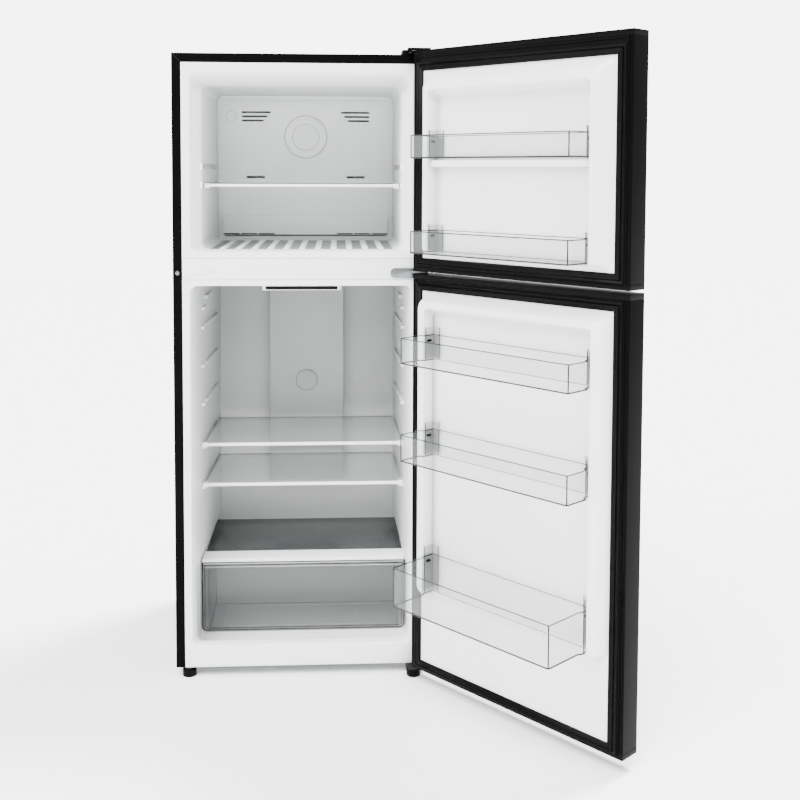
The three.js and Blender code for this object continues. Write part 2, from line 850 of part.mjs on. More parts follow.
// The drawer: a wide front with a lip, and a narrower tray that runs between the cover's rails.
const tray = cut(
  box(-drawer.trayHalf, drawer.trayHalf, drawer.front + 1, drawer.back, drawer.bottom, drawer.top - 6),
  box(
    -drawer.trayHalf + drawer.wall,
    drawer.trayHalf - drawer.wall,
    drawer.front + drawer.wall,
    drawer.back - drawer.wall,
    drawer.bottom + drawer.wall,
    drawer.top + 5,
  ),
);
const drawerFront = slab(
  roundRect(-drawer.half, drawer.half, drawer.bottom, drawer.top, 14, 4),
  drawer.front,
  drawer.front + drawer.wall,
);
const drawerLip = box(-drawer.half + 6, drawer.half - 6, drawer.front - 1, drawer.front + 10, drawer.top - 4, drawer.top);
const drawerGroup = new THREE.Group();
piece(drawerGroup, "crisper_drawer", join(tray, drawerFront, drawerLip), finish.clearPlastic);
refrigerator.add(drawerGroup);

// ---------------------------------------------------------------- doors

// A pin hole for a hinge, at the axis, upwards from z0 to z1.
function pinHole(z0, z1) {
  return rodZ(hinge.pin + RUN, hingeX, hingeY, z0, z1, 16);
}

function doorOutline(inset) {
  const corner = door.corner - inset;
  return roundRect(-half + inset, half - inset, doorFront + inset, doorBack - inset, corner, Math.max(2.5 - inset, 0.5));
}

// A bin: a clear tray hung between the dykes, wider in front of them, with round front corners.
function binShape(size, inset) {
  const back = doorBack + bin.setBack + 2;
  const neck = dyke.reach + 3;
  const inner = size.neckHalf - inset;
  const wide = size.half - inset;
  const front = size.front - inset;
  const shape = new THREE.Shape();
  shape.moveTo(-inner, back + inset);
  shape.lineTo(inner, back + inset);
  shape.lineTo(inner, neck);
  shape.lineTo(wide, neck + 6);
  shape.lineTo(wide, front - bin.corner);
  shape.absarc(wide - bin.corner, front - bin.corner, bin.corner, 0, Math.PI / 2);
  shape.lineTo(-wide + bin.corner, front);
  shape.absarc(-wide + bin.corner, front - bin.corner, bin.corner, Math.PI / 2, Math.PI);
  shape.lineTo(-wide, neck + 6);
  shape.lineTo(-inner, neck);
  return shape;
}

function makeBin(group, place, size) {
  const body = column(binShape(size, 0), place.bottom, place.top, 3);
  const air = column(binShape(size, bin.wall), place.bottom + bin.wall, place.top + 1, 3);
  piece(group, place.name, cut(body, air), finish.clearPlastic);
}

// One door, closed, in the cabinet's own place; the pivot group then swings it open.
function makeDoor(name, bottom, top, frame, dykes) {
  const pivot = new THREE.Group();
  pivot.position.set(hingeX, hingeY, 0);
  pivot.rotation.z = THREE.MathUtils.degToRad(door.openAngle);
  const group = new THREE.Group();
  group.position.set(-hingeX, -hingeY, 0);
  pivot.add(group);
  const low = bottom + door.cap;
  const high = top - door.cap;
  const window = half - door.lip;

  const skin = cut(
    column(doorOutline(0), low, high),
    column(doorOutline(SHEET), low - 1, high + 1),
    box(-window, window, doorBack - 3, doorBack + 3, low - 1, high + 1),
  );
  piece(group, `${name}_skin`, skin, finish.blackSteel);
  piece(
    group,
    `${name}_top_cap`,
    cut(column(doorOutline(0), high + GAP, top), pinHole(top - door.cap - 2, top + 1)),
    finish.blackPlastic,
  );
  piece(
    group,
    `${name}_bottom_cap`,
    cut(column(doorOutline(0), bottom, low - GAP), pinHole(bottom - 1, low + 2)),
    finish.blackPlastic,
  );

  const plateHalf = window - GAP;
  const plate = box(-plateHalf, plateHalf, doorBack - dyke.wall, doorBack, low + GAP, high - GAP);
  const raised = dykes.map(([x0, x1, z0, z1]) => box(x0, x1, doorBack - 1, dyke.reach, z0, z1));
  const hollows = dykes.map(([x0, x1, z0, z1]) =>
    box(x0 + dyke.wall, x1 - dyke.wall, doorBack - 5, dyke.reach - dyke.wall, z0 + dyke.wall, z1 - dyke.wall),
  );
  piece(group, `${name}_liner`, cut(join(plate, ...raised), ...hollows), finish.whitePlastic);
  const fillers = dykes.map(([x0, x1, z0, z1]) => {
    const side = dyke.wall + GAP;
    return box(x0 + side, x1 - side, doorBack - 10, dyke.reach - side, z0 + side, z1 - side);
  });
  const fill = SHEET + GAP;
  piece(
    group,
    `${name}_foam`,
    join(
      keep(
        column(doorOutline(fill), low + GAP, high - GAP),
        box(-half, half, doorFront, doorBack - dyke.wall - GAP, low, high),
      ),
      ...fillers,
    ),
    finish.foam,
  );

  const seal = roundRect(
    -gasket.inner - gasket.width,
    gasket.inner + gasket.width,
    frame.bottom - gasket.width,
    frame.top + gasket.width,
    3,
  );
  seal.holes.push(roundRect(-gasket.inner, gasket.inner, frame.bottom, frame.top, 3));
  piece(group, `${name}_gasket`, slab(seal, -gasket.thickness - GAP, -GAP, 2), finish.rubber);
  refrigerator.add(pivot);
  return group;
}

const freezerDykeHalf = freezerBin.half + 3;
const freezerDykeOut = freezerDykeHalf + 16;
const freezerSeal = { bottom: freezer.bottom - 9, top: freezer.top + 1 };
const freezerDykeFoot = freezer.innerBottom + 4;
const freezerDykeTop = freezer.innerTop - 10;
const freezerDykes = [
  [-freezerDykeOut, -freezerDykeHalf, freezerDykeFoot, freezerDykeTop],
  [freezerDykeHalf, freezerDykeOut, freezerDykeFoot, freezerDykeTop],
  [-freezerDykeOut, freezerDykeOut, freezerDykeTop - 36, freezerDykeTop],
];
const freezerDoor = makeDoor(
  "freezer_door",
  split.middle + split.between / 2,
  doorTop,
  freezerSeal,
  freezerDykes,
);
freezerBins.forEach((place) => makeBin(freezerDoor, place, { ...freezerBin, neckHalf: freezerDykeHalf - 1 }));

const fridgeDykeHalf = 269;
const fridgeDykeOut = fridgeDykeHalf + dyke.width;
const fridgeSeal = { bottom: fridge.bottom - 16, top: fridge.top - 6 };
const dykeTop = controlBottom - 8;
const fridgeDykes = [
  [-fridgeDykeOut, -fridgeDykeHalf, bottleBin.bottom - 5, dykeTop],
  [fridgeDykeHalf, fridgeDykeOut, bottleBin.bottom - 5, dykeTop],
  [-fridgeDykeOut, fridgeDykeOut, dykeTop - 36, dykeTop],
];
const fridgeDoor = makeDoor(
  "fridge_door",
  doorBottom,
  split.middle - split.between / 2,
  fridgeSeal,
  fridgeDykes,
);
fridgeBins.forEach((place) => makeBin(fridgeDoor, place, { ...fridgeBin, neckHalf: fridgeDykeHalf - 1 }));
makeBin(fridgeDoor, bottleBin, { ...bottleBin, neckHalf: fridgeDykeHalf - 1 });

// The cam under the fridge door that stops it and draws it shut.
const closerHeight = 9;
piece(
  fridgeDoor,
  "door_closer",
  rodZ(16, hingeX - 50, hingeY - 8, doorBottom - closerHeight, doorBottom - GAP, 18),
  finish.blackPlastic,
);

// ---------------------------------------------------------------- hinges

// Top hinge: a plate on the cabinet, raised over the door, with a pin down into it, under a moulded cover.
const topPlateZ = cabinet.height + GAP;
const topArmZ = doorTop + 1;
piece(
  cabinetGroup,
  "top_hinge",
  join(
    box(half - 64, half - 8, 12, 84, topPlateZ, topArmZ + hinge.plate),
    box(half - 50, hingeX + 10, hingeY - 10, 14, topArmZ, topArmZ + hinge.plate),
    rodZ(hinge.pin, hingeX, hingeY, topArmZ - hinge.pinLength, topArmZ + 1, 16),
  ),
  finish.zinc,
);
const hoodTop = topArmZ + hinge.plate + 4;
piece(
  cabinetGroup,
  "top_hinge_cover",
  cut(
    join(
      box(half - 74, half - 1, 6, 96, topPlateZ, hoodTop),
      box(half - 62, half - 1, hingeY - 16, 10, topArmZ, hoodTop),
    ),
    box(half - 71, half - 4, 9, 93, topPlateZ - 1, hoodTop - 2),
    box(half - 59, half - 1, hingeY - 13, 10, topArmZ - 1, hoodTop - 2),
  ),
  finish.blackPlastic,
);

// Middle hinge: a plate on the mullion with an arm between the doors and a pin up and down.
const armZ = split.middle - hinge.plate / 2;
piece(
  cabinetGroup,
  "middle_hinge",
  join(
    slab(roundRect(half - 105, half - 30, split.middle - 20, split.middle + 8, 12), -hinge.plate - GAP, -GAP, 4),
    box(half - 54, hingeX + 9, hingeY - 9, -1 - GAP, armZ, armZ + hinge.plate),
    rodZ(hinge.pin, hingeX, hingeY, armZ - hinge.pinLength, armZ + hinge.plate + hinge.pinLength, 16),
  ),
  finish.zinc,
);

// Bottom hinge: a plate under the base, out past the door's lower edge, with a pin up into the door.
const bottomArmZ = -hinge.plate - GAP;
piece(
  cabinetGroup,
  "bottom_hinge",
  cut(
    join(
      box(half - 60, hingeX + 9, hingeY - 9, 44, bottomArmZ, -GAP),
      rodZ(hinge.pin, hingeX, hingeY, bottomArmZ + 1, doorBottom + hinge.pinLength, 16),
    ),
    rodZ(foot.stem + RUN, rightFoot.x, rightFoot.y, -10, 4, 12),
  ),
  finish.zinc,
);

refrigerator.position.set(-leftFoot.x, -leftFoot.y, foot.height);

export default refrigerator;
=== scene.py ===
import json
import math
from math import cos, radians, sin

import bpy
from mathutils import Matrix, Vector


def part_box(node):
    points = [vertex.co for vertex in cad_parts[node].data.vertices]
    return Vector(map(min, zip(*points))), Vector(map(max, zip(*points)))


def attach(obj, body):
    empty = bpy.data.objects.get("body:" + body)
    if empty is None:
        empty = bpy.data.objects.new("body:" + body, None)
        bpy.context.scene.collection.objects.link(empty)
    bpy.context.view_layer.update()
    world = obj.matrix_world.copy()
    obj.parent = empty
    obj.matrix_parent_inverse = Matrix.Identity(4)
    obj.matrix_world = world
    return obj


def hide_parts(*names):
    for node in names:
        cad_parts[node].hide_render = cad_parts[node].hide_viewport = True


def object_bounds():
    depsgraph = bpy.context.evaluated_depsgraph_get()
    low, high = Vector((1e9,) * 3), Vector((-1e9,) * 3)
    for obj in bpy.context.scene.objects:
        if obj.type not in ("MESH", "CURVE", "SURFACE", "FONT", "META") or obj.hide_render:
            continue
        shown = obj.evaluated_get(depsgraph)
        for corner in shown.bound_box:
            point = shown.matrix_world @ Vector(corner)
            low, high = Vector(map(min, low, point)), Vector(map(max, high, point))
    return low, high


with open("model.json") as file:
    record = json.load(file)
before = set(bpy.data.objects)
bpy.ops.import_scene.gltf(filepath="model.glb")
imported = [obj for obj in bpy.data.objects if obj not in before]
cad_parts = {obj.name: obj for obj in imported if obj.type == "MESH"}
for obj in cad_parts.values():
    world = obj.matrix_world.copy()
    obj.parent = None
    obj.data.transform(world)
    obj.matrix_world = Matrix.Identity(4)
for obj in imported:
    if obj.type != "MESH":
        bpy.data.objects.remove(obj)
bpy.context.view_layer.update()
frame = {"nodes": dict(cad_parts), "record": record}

# Places are in millimetres from the middle of the cabinet's front lower edge: X to the right, Y back into the
# cabinet, Z up. The functions below make, cut and soften the pieces, and then give each its finish and body.

shell_low, shell_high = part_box("cabinet_shell")
CENTRE = Vector(((shell_low[0] + shell_high[0]) / 2, shell_low[1], shell_low[2]))
MM = 0.001


def spot(x, y, z):
    """A place in millimetres from the middle of the cabinet's front lower edge, in metres."""
    return CENTRE + Vector((x, y, z)) * MM


def corners(name):
    """The two far corners of a CAD node's box, in millimetres."""
    return [(Vector(corner) - CENTRE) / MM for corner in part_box(name)]


def clear():
    if bpy.context.object and bpy.context.object.mode != "OBJECT":
        bpy.ops.object.mode_set(mode="OBJECT")
    bpy.ops.object.select_all(action="DESELECT")


def only(piece):
    clear()
    piece.select_set(True)
    bpy.context.view_layer.objects.active = piece
    return piece


def settle(piece):
    """Puts the piece's place into its mesh."""
    only(piece)
    bpy.ops.object.transform_apply(location=True, rotation=True, scale=True)
    return piece


def turn(piece, degrees, axis, centre):
    """Turns a piece about an axis through a place in millimetres."""
    middle = Matrix.Translation(spot(*centre))
    turned = middle @ Matrix.Rotation(radians(degrees), 4, axis) @ middle.inverted()
    piece.matrix_world = turned @ piece.matrix_world
    return settle(piece)


def block(name, x0, x1, y0, y1, z0, z1):
    clear()
    middle = spot((x0 + x1) / 2, (y0 + y1) / 2, (z0 + z1) / 2)
    bpy.ops.mesh.primitive_cube_add(size=1, location=middle)
    piece = bpy.context.object
    piece.name = name
    piece.scale = Vector((x1 - x0, y1 - y0, z1 - z0)) * MM
    return settle(piece)


def rod(name, radius, start, end, sides=40):
    """A round bar between two places in millimetres."""
    clear()
    a, b = spot(*start), spot(*end)
    bpy.ops.mesh.primitive_cylinder_add(
        vertices=sides, radius=radius * MM, depth=(b - a).length, location=(a + b) / 2,
        rotation=(b - a).to_track_quat("Z", "Y").to_euler())
    piece = bpy.context.object
    piece.name = name
    return settle(piece)


def ring(name, radius, depth, z, x, width):
    """A fine raised circle on a face at depth."""
    clear()
    bpy.ops.mesh.primitive_torus_add(
        major_radius=radius * MM, minor_radius=width * MM, major_segments=96, minor_segments=8,
        location=spot(x, depth, z), rotation=(radians(90), 0, 0))
    made = bpy.context.object
    made.name = name
    return settle(made)


def modify(piece, kind, **settings):
    only(piece)
    modifier = piece.modifiers.new(kind.lower(), kind)
    for key, value in settings.items():
        setattr(modifier, key, value)
    bpy.ops.object.modifier_apply(modifier=modifier.name)
    return piece


def soften(piece, width, segments=3, angle=35):
    """Rounds the edges sharper than angle, and shades the rest smooth."""
    modify(piece, "BEVEL", width=width * MM, segments=segments, limit_method="ANGLE",
           angle_limit=radians(angle), use_clamp_overlap=True, harden_normals=False)
    bpy.ops.object.shade_smooth_by_angle(angle=radians(32))
    return piece


def carve(piece, *tools, operation="DIFFERENCE"):
    for tool in tools:
        modify(piece, "BOOLEAN", operation=operation, solver="EXACT", object=tool)
        bpy.data.objects.remove(tool)
    return piece


def close_up(piece, angle=32):
    """Merges the doubles a cut leaves and splits its many-sided faces, then shades it smooth."""
    only(piece)
    bpy.ops.object.mode_set(mode="EDIT")
    bpy.ops.mesh.select_all(action="SELECT")
    bpy.ops.mesh.remove_doubles(threshold=0.01 * MM)
    bpy.ops.mesh.quads_convert_to_tris(quad_method="BEAUTY", ngon_method="BEAUTY")
    bpy.ops.object.mode_set(mode="OBJECT")
    bpy.ops.object.shade_smooth_by_angle(angle=radians(angle))
    return piece


def step_face(disc, *steps):
    """Steps a disc's front face: each step is an inset and a move towards the back, in millimetres."""
    bpy.ops.object.mode_set(mode="EDIT")
    bpy.ops.mesh.select_all(action="DESELECT")
    bpy.ops.object.mode_set(mode="OBJECT")
    for face in disc.data.polygons:
        face.select = face.normal.y < -0.9
    bpy.ops.object.mode_set(mode="EDIT")
    for inward, back in steps:
        bpy.ops.mesh.inset(thickness=inward * MM, depth=0)
        bpy.ops.transform.translate(value=(0, back * MM, 0))
    bpy.ops.object.mode_set(mode="OBJECT")


def gather(name, pieces):
    clear()
    for piece in pieces:
        piece.select_set(True)
    bpy.context.view_layer.objects.active = pieces[0]
    if len(pieces) > 1:
        bpy.ops.object.join()
    pieces[0].name = name
    return pieces[0]


def loft(name, stations, radius, segments=8):
    """A closed tapered block of round-cornered sections, each (y, half width, bottom, top), front to back."""
    clear()
    y, half, bottom, top = stations[0]
    bpy.ops.mesh.primitive_plane_add(
        size=1, location=spot(0, y, (bottom + top) / 2), rotation=(radians(90), 0, 0))
    piece = bpy.context.object
    piece.name = name
    piece.scale = (2 * half * MM, (top - bottom) * MM, 1)
    settle(piece)
    bpy.ops.object.mode_set(mode="EDIT")
    bpy.ops.mesh.select_all(action="SELECT")
    bpy.ops.mesh.bevel(offset=radius * MM, affect="VERTICES", segments=segments)
    for before, after in zip(stations, stations[1:]):
        step = Vector((0, after[0] - before[0], (after[2] + after[3] - before[2] - before[3]) / 2)) * MM
        bpy.ops.mesh.extrude_region_move(TRANSFORM_OT_translate={"value": step})
        grow = (after[1] / before[1], 1, (after[3] - after[2]) / (before[3] - before[2]))
        middle = spot(0, after[0], (after[2] + after[3]) / 2)
        bpy.ops.transform.resize(value=grow, center_override=middle)
    bpy.ops.mesh.select_all(action="SELECT")
    bpy.ops.mesh.normals_make_consistent(inside=False)
    bpy.ops.object.mode_set(mode="OBJECT")
    return piece


def colour(code):
    """An sRGB hex colour as the linear one that a shader takes."""
    parts = [int(code[i:i + 2], 16) / 255 for i in (1, 3, 5)]
    return [c / 12.92 if c <= 0.04045 else ((c + 0.055) / 1.055) ** 2.4 for c in parts] + [1]


def node(tree, kind, links=(), **settings):
    """Adds a node: settings are properties or sockets by name, links are (socket, output) pairs."""
    made = tree.nodes.new(kind)
    for key, value in settings.items():
        if hasattr(made, key):
            setattr(made, key, value)
        else:
            made.inputs[key.replace("_", " ")].default_value = value
    for socket, output in links:
        tree.links.new(output, made.inputs[socket])
    return made


def material(name, base, dark, rough, grain, depth, metal=0.0, spread=0.05, **shader):
    """A finish: two colours mixed by a slow cloud, and a fine grain, in mm, in its bump and roughness."""
    made = bpy.data.materials.new(name)
    made.use_nodes = True
    tree = made.node_tree
    tree.nodes.clear()
    place = node(tree, "ShaderNodeTexCoord").outputs["Object"]
    cloud = node(tree, "ShaderNodeTexNoise", [("Vector", place)], Scale=7.0, Detail=3.0).outputs["Fac"]
    fine = node(tree, "ShaderNodeTexNoise", [("Vector", place)],
                Scale=1000 / grain, Detail=4.0).outputs["Fac"]
    ramp = node(tree, "ShaderNodeValToRGB", [("Fac", cloud)])
    ramp.color_ramp.elements[0].position = 0.35
    ramp.color_ramp.elements[0].color = colour(dark)
    ramp.color_ramp.elements[1].position = 0.65
    ramp.color_ramp.elements[1].color = colour(base)
    shine = node(tree, "ShaderNodeMapRange", [("Value", fine)])
    shine.inputs["To Min"].default_value = rough - spread
    shine.inputs["To Max"].default_value = rough + spread
    bump = node(tree, "ShaderNodeBump", [("Height", fine)], Strength=0.25, Distance=depth * MM)
    surface = node(tree, "ShaderNodeBsdfPrincipled", [
        ("Base Color", ramp.outputs["Color"]),
        ("Roughness", shine.outputs["Result"]),
        ("Normal", bump.outputs["Normal"]),
    ], Metallic=metal)
    for key, value in shader.items():
        surface.inputs[key.replace("_", " ")].default_value = value
    node(tree, "ShaderNodeOutputMaterial", [("Surface", surface.outputs["BSDF"])])
    return made


def paint_corner_shade(made, reach, deepest):
    """Paints shade into a finish's colour: darker in its hollows and inner corners, within reach in
    millimetres of the surface.
    """
    tree = made.node_tree
    surface = tree.nodes["Principled BSDF"]
    flat = surface.inputs["Base Color"].links[0].from_socket
    open_share = node(tree, "ShaderNodeAmbientOcclusion", samples=6, only_local=True,
                      Distance=reach * MM).outputs["AO"]
    level = node(tree, "ShaderNodeMapRange", [("Value", open_share)])
    level.inputs["From Min"].default_value = 0.35
    level.inputs["From Max"].default_value = 0.95
    level.inputs["To Min"].default_value = deepest
    level.inputs["To Max"].default_value = 1.0
    scaled = node(tree, "ShaderNodeVectorMath", [(0, flat)], operation="SCALE")
    tree.links.new(level.outputs["Result"], scaled.inputs["Scale"])
    tree.links.new(scaled.outputs["Vector"], surface.inputs["Base Color"])
    return made


def coat(piece, finish):
    piece.data.materials.clear()
    piece.data.materials.append(finish)
    return piece


def fit(piece, body, slot, finish, *nodes):
    """Finishes a piece: its material, the body it moves with, and the CAD nodes it stands for. The slot is
    not used.
    """
    coat(piece, finish)
    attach(piece, body)
    if nodes:
        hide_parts(*nodes)
    return piece


# The white surround and its two cavities: vacuum-formed polystyrene, foamed into the cabinet. Its mouths
# flare towards the doors, and every corner inside is rounded so that it can be formed and wiped clean. The
# finish is satin white, with a faint mottle and the softest orange peel.
liner_white = material("vacuum_formed_polystyrene", "#ECEDED", "#E9EAEA", 0.36, 3.0, 0.04, IOR=1.58)
# Painted shade: this white darkens in its own hollows and inner corners, wherever it is used.
paint_corner_shade(liner_white, 30, 0.4)
# A grey for dark seams, and for painted shade: between the freezer's floor ribs and along raised circles.
seam_and_shade_grey = material("moulded_edge_shade", "#77797A", "#727475", 0.5, 2.0, 0.02)
SKIN = 2
BACK = 545  # the cavities' back wall


def painted_depth_shade(name, near, far, ceiling):
    """The liner's finish with painted shade: greyer towards the back wall, the more so higher up, and just
    under the ceiling.
    """
    made = material(name, near, near, 0.36, 3.0, 0.04, IOR=1.58)
    tree = made.node_tree
    place = node(tree, "ShaderNodeTexCoord").outputs["Object"]
    apart = node(tree, "ShaderNodeSeparateXYZ", [("Vector", place)]).outputs
    share = node(tree, "ShaderNodeMapRange", [("Value", apart["Y"])])
    share.inputs["From Min"].default_value = spot(0, 12, 0).y
    share.inputs["From Max"].default_value = spot(0, BACK, 0).y
    rise = node(tree, "ShaderNodeMapRange", [("Value", apart["Z"])])
    rise.inputs["From Min"].default_value = spot(0, 0, 420).z
    rise.inputs["From Max"].default_value = spot(0, 0, 900).z
    rise.inputs["To Min"].default_value = 0.45
    rise.inputs["To Max"].default_value = 1.0
    shade_amount = node(tree, "ShaderNodeMath", [(0, share.outputs["Result"]), (1, rise.outputs["Result"])],
                   operation="MULTIPLY").outputs["Value"]
    above = node(tree, "ShaderNodeMapRange", [("Value", apart["Z"])])
    above.inputs["From Min"].default_value = spot(0, 0, ceiling - 20).z
    above.inputs["From Max"].default_value = spot(0, 0, ceiling - 2).z
    inside = node(tree, "ShaderNodeMapRange", [("Value", apart["Y"])])
    inside.inputs["From Min"].default_value = spot(0, 2, 0).y
    inside.inputs["From Max"].default_value = spot(0, 30, 0).y
    inside.inputs["To Max"].default_value = 0.8
    roof = node(tree, "ShaderNodeMath", [(0, above.outputs["Result"]), (1, inside.outputs["Result"])],
                operation="MULTIPLY").outputs["Value"]
    shade_amount = node(tree, "ShaderNodeMath", [(0, shade_amount), (1, roof)], operation="MAXIMUM").outputs["Value"]
    tone = node(tree, "ShaderNodeValToRGB", [("Fac", shade_amount)])
    stops = tone.color_ramp.elements
    stops[0].color = colour(near)
    stops[1].color = colour(far)
    middle = stops.new(0.3)
    middle.color = [0.6 * a + 0.4 * b for a, b in zip(colour(near), colour(far))]
    tree.links.new(tone.outputs["Color"], tree.nodes["Principled BSDF"].inputs["Base Color"])
    return made


# The cavities' liners carry painted shade, greying towards the back wall and under the ceiling.
freezer_shaded_white = painted_depth_shade("polystyrene_painted_shade_freezer", "#ECEDED", "#B2B4B4", 1616)
fridge_shaded_white = painted_depth_shade("polystyrene_painted_shade_fridge", "#ECEDED", "#8C8E8E", 1069)
FREEZER_RADIUS = 22
freezer_mouth = [
    (-1, 303.4, 1160.6, 1651.4), (0, 303, 1161, 1651), (1.2, 301.4, 1162.4, 1649.6),
    (4, 299.6, 1163.6, 1647.4), (20, 288, 1166, 1632), (34, 278, 1166.8, 1619.5), (40, 275, 1167, 1616.6),
    (48, 274, 1167, 1616),
]
freezer_air = loft("freezer_air", freezer_mouth + [(BACK, 273, 1167, 1616)], FREEZER_RADIUS)
freezer_wall = loft("freezer_wall", [
    (1, 304.5, 1159.5, 1652.5), (40, 276, 1165, 1618), (BACK + SKIN, 275, 1165, 1618),
], FREEZER_RADIUS + SKIN)
flange = block("flange", -324.7, 324.7, 0, 1.5, 1145.3, 1676.7)
liner = carve(freezer_wall, flange, operation="UNION")
liner = carve(liner, freezer_air)

# The shelf hangs in a pair of open slots, and a second pair waits above it.
GROOVE_RISE = 52
shelf_low, shelf_high = corners("freezer_shelf_frame")
shelf_middle = (shelf_low.z + shelf_high.z) / 2
for rise in (0, GROOVE_RISE):
    for side in (-1, 1):
        z = shelf_middle + rise
        x0, x1 = sorted((side * 272, side * 285))
        trough = block("trough", x0, x1, 34, 405, z - 9, z + 9)
        x0, x1 = sorted((side * 266, side * 283))
        hollow = block("hollow", x0, x1, 36, 403, z - 7, z + 7)
        soften(hollow, 2.5, 3)
        carve(liner, trough, operation="UNION")
        carve(liner, hollow)

# Eleven broad ribs keep food off the freezer's floor, so that cold air passes under it.
RIB_PITCH = 44
rib_blocks = []
for i in range(-5, 6):
    middle = i * RIB_PITCH
    rib = block("rib", middle - 11, middle + 11, 50, 425, 1160, 1170)
    bpy.ops.object.mode_set(mode="EDIT")
    bpy.ops.mesh.select_all(action="DESELECT")
    bpy.ops.object.mode_set(mode="OBJECT")
    for face in rib.data.polygons:
        face.select = face.normal.z > 0.9
    bpy.ops.object.mode_set(mode="EDIT")
    bpy.ops.transform.resize(value=(0.72, 0.985, 1), center_override=spot(middle, 237, 1170))
    bpy.ops.object.mode_set(mode="OBJECT")
    soften(rib, 2.2, 3)
    rib_blocks.append(rib)
ribs = gather("freezer_floor_ribs", rib_blocks)
# A grey plate between the ribs paints the shade in their gaps.
rib_gap_shade = block("freezer_rib_gap_shade", -254, 254, 46, 428, 1166.6, 1167.5)
fit(soften(rib_gap_shade, 0.3, 1), "cabinet", "white_liner", seam_and_shade_grey)
close_up(liner)
fit(liner, "cabinet", "white_liner", freezer_shaded_white, "freezer_liner").name = "freezer_liner_skin"
fit(ribs, "cabinet", "white_liner", liner_white)

# The fridge cavity: a wide lower part for the drawer, and a narrower one above it that leans in to the back.
fridge_mouth = [
    (-1, 307, 57.6, 1070.3), (0, 306.5, 58, 1070), (1.4, 304.6, 59.6, 1069.4), (6, 302.4, 61, 1069.1),
    (30, 297, 62, 1069), (60, 293.5, 62, 1069), (120, 291.6, 62, 1069),
]
upper_air = loft("upper_air", fridge_mouth + [(BACK, 279, 62, 1069)], 22)
lower_air = loft("lower_air", [(30, 302, 32, 276), (BACK - 0.6, 297, 32, 276)], 20)
fridge_wall = loft("fridge_wall", [
    (1, 308.4, 56.4, 1071.6), (60, 295.5, 56.2, 1071), (BACK + SKIN, 281, 56.2, 1071),
], 24)
lower_wall = loft("lower_wall", [(28, 303.8, 30.2, 278), (BACK + SKIN - 0.6, 298.8, 30.2, 278)], 22)
carve(fridge_wall, lower_wall, operation="UNION")
surround = block("surround", -324.7, 324.7, 0, 1.5, 37.3, 1085.7)
carve(fridge_wall, surround, operation="UNION")
carve(fridge_wall, upper_air)
carve(fridge_wall, lower_air)

# The compressor sits under a step in the liner's floor, a sheet of the same thickness, open from behind.
step = block("compressor_step", -298.75, 298.75, 372, BACK + 0.8, 31.1, 236)
soften(step, 12, 5)
carve(fridge_wall, step, operation="UNION")
rear = block("rear", -340, 340, 375, BACK + 30, 0, 233.5)
carve(fridge_wall, rear)
close_up(fridge_wall)
fit(fridge_wall, "cabinet", "white_liner", fridge_shaded_white, "fridge_liner").name = "fridge_liner_skin"


def wall_half(y):
    """Half the width between the fridge's side walls at depth y."""
    return 293.5 - 14.5 * (y - 60) / (BACK - 60)


# Shelf supports moulded in the side walls: five levels, each a short front block and a long rear ledge.
# Two more guides stand near the ceiling, and a rail and a stop on each side carry the crisper's cover.
SHELF_LEVELS = (476.7, 593.7, 718, 828, 940)
LEAN = math.degrees(math.atan2(14.5, BACK - 60))
supports = []
for top in SHELF_LEVELS:
    for side in (-1, 1):
        for y0, y1, out in ((136, 172, 9), (196, 452, 7)):
            edge = wall_half((y0 + y1) / 2)
            x0, x1 = sorted((side * (edge - out), side * (edge + 2)))
            ledge = block("ledge", x0, x1, y0, y1, top - 10, top)
            turn(ledge, side * LEAN, "Z", (side * edge, (y0 + y1) / 2, top))
            supports.append(soften(ledge, 2, 3))
for side in (-1, 1):
    for y0, y1, z in ((200, 330, 1012), (150, 210, 984)):
        edge = wall_half((y0 + y1) / 2)
        x0, x1 = sorted((side * (edge - 8), side * (edge + 2)))
        supports.append(soften(block("guide", x0, x1, y0, y1, z, z + 9), 2, 3))
    x0, x1 = sorted((side * 284, side * 303))
    supports.append(soften(block("cover_rail", x0, x1, 173, 520, 235.7, 241.5), 1.5, 3))
    x0, x1 = sorted((side * 289, side * 297))
    supports.append(soften(block("cover_stop", x0, x1, 285, 292, 254, 268), 2, 3))
shelf_supports = gather("shelf_supports", supports)
fit(shelf_supports, "cabinet", "white_liner", fridge_shaded_white)

# The mullion's cover and the sill: pressed strips that clip between the flanges and close the foam in. A seam
# shows above and below the mullion's, and a blank pad stands at its left.
strips = []
for node_name in ("mullion_cover", "kick_panel"):
    low, high = corners(node_name)
    strip = block("strip", low.x, high.x, low.y, high.y, low.z, high.z)
    strips.append(soften(strip, 0.7, 2))
fit(strips[0], "cabinet", "white_liner", liner_white, "mullion_cover").name = "mullion_strip"
fit(strips[1], "cabinet", "white_liner", liner_white, "kick_panel").name = "sill_strip"
seams = [block("seam", -322, 322, -0.25, 0.3, z - 0.4, z + 0.4) for z in (1086.2, 1144.8)]
fit(gather("mullion_seams", seams), "cabinet", "white_liner", seam_and_shade_grey)
pad = soften(block("mullion_pad", -302, -236, -0.9, 0.4, 1107, 1120), 0.4, 2)
fit(pad, "cabinet", "white_liner", liner_white)


def copy_of(name, source):
    """A merged copy of a CAD node, ready to be finished."""
    clear()
    original = frame["nodes"][source]
    twin = bpy.data.objects.new(name, original.data.copy())
    bpy.context.scene.collection.objects.link(twin)
    twin.matrix_world = original.matrix_world.copy()
    settle(twin)
    bpy.ops.object.mode_set(mode="EDIT")
    bpy.ops.mesh.select_all(action="SELECT")
    bpy.ops.mesh.remove_doubles(threshold=0.02 * MM)
    bpy.ops.mesh.dissolve_limited(angle_limit=radians(2))
    bpy.ops.object.mode_set(mode="OBJECT")
    return twin


def dress(name, source, body, slot, finish, width=0.5, segments=2):
    """A copy of a CAD node with softened edges, finished, in that node's place."""
    piece = soften(copy_of(name, source), width, segments)
    return fit(piece, body, slot, finish, source)


dress("hole_plug", "hinge_hole_plug", "cabinet", "white_liner", liner_white, 0.6)

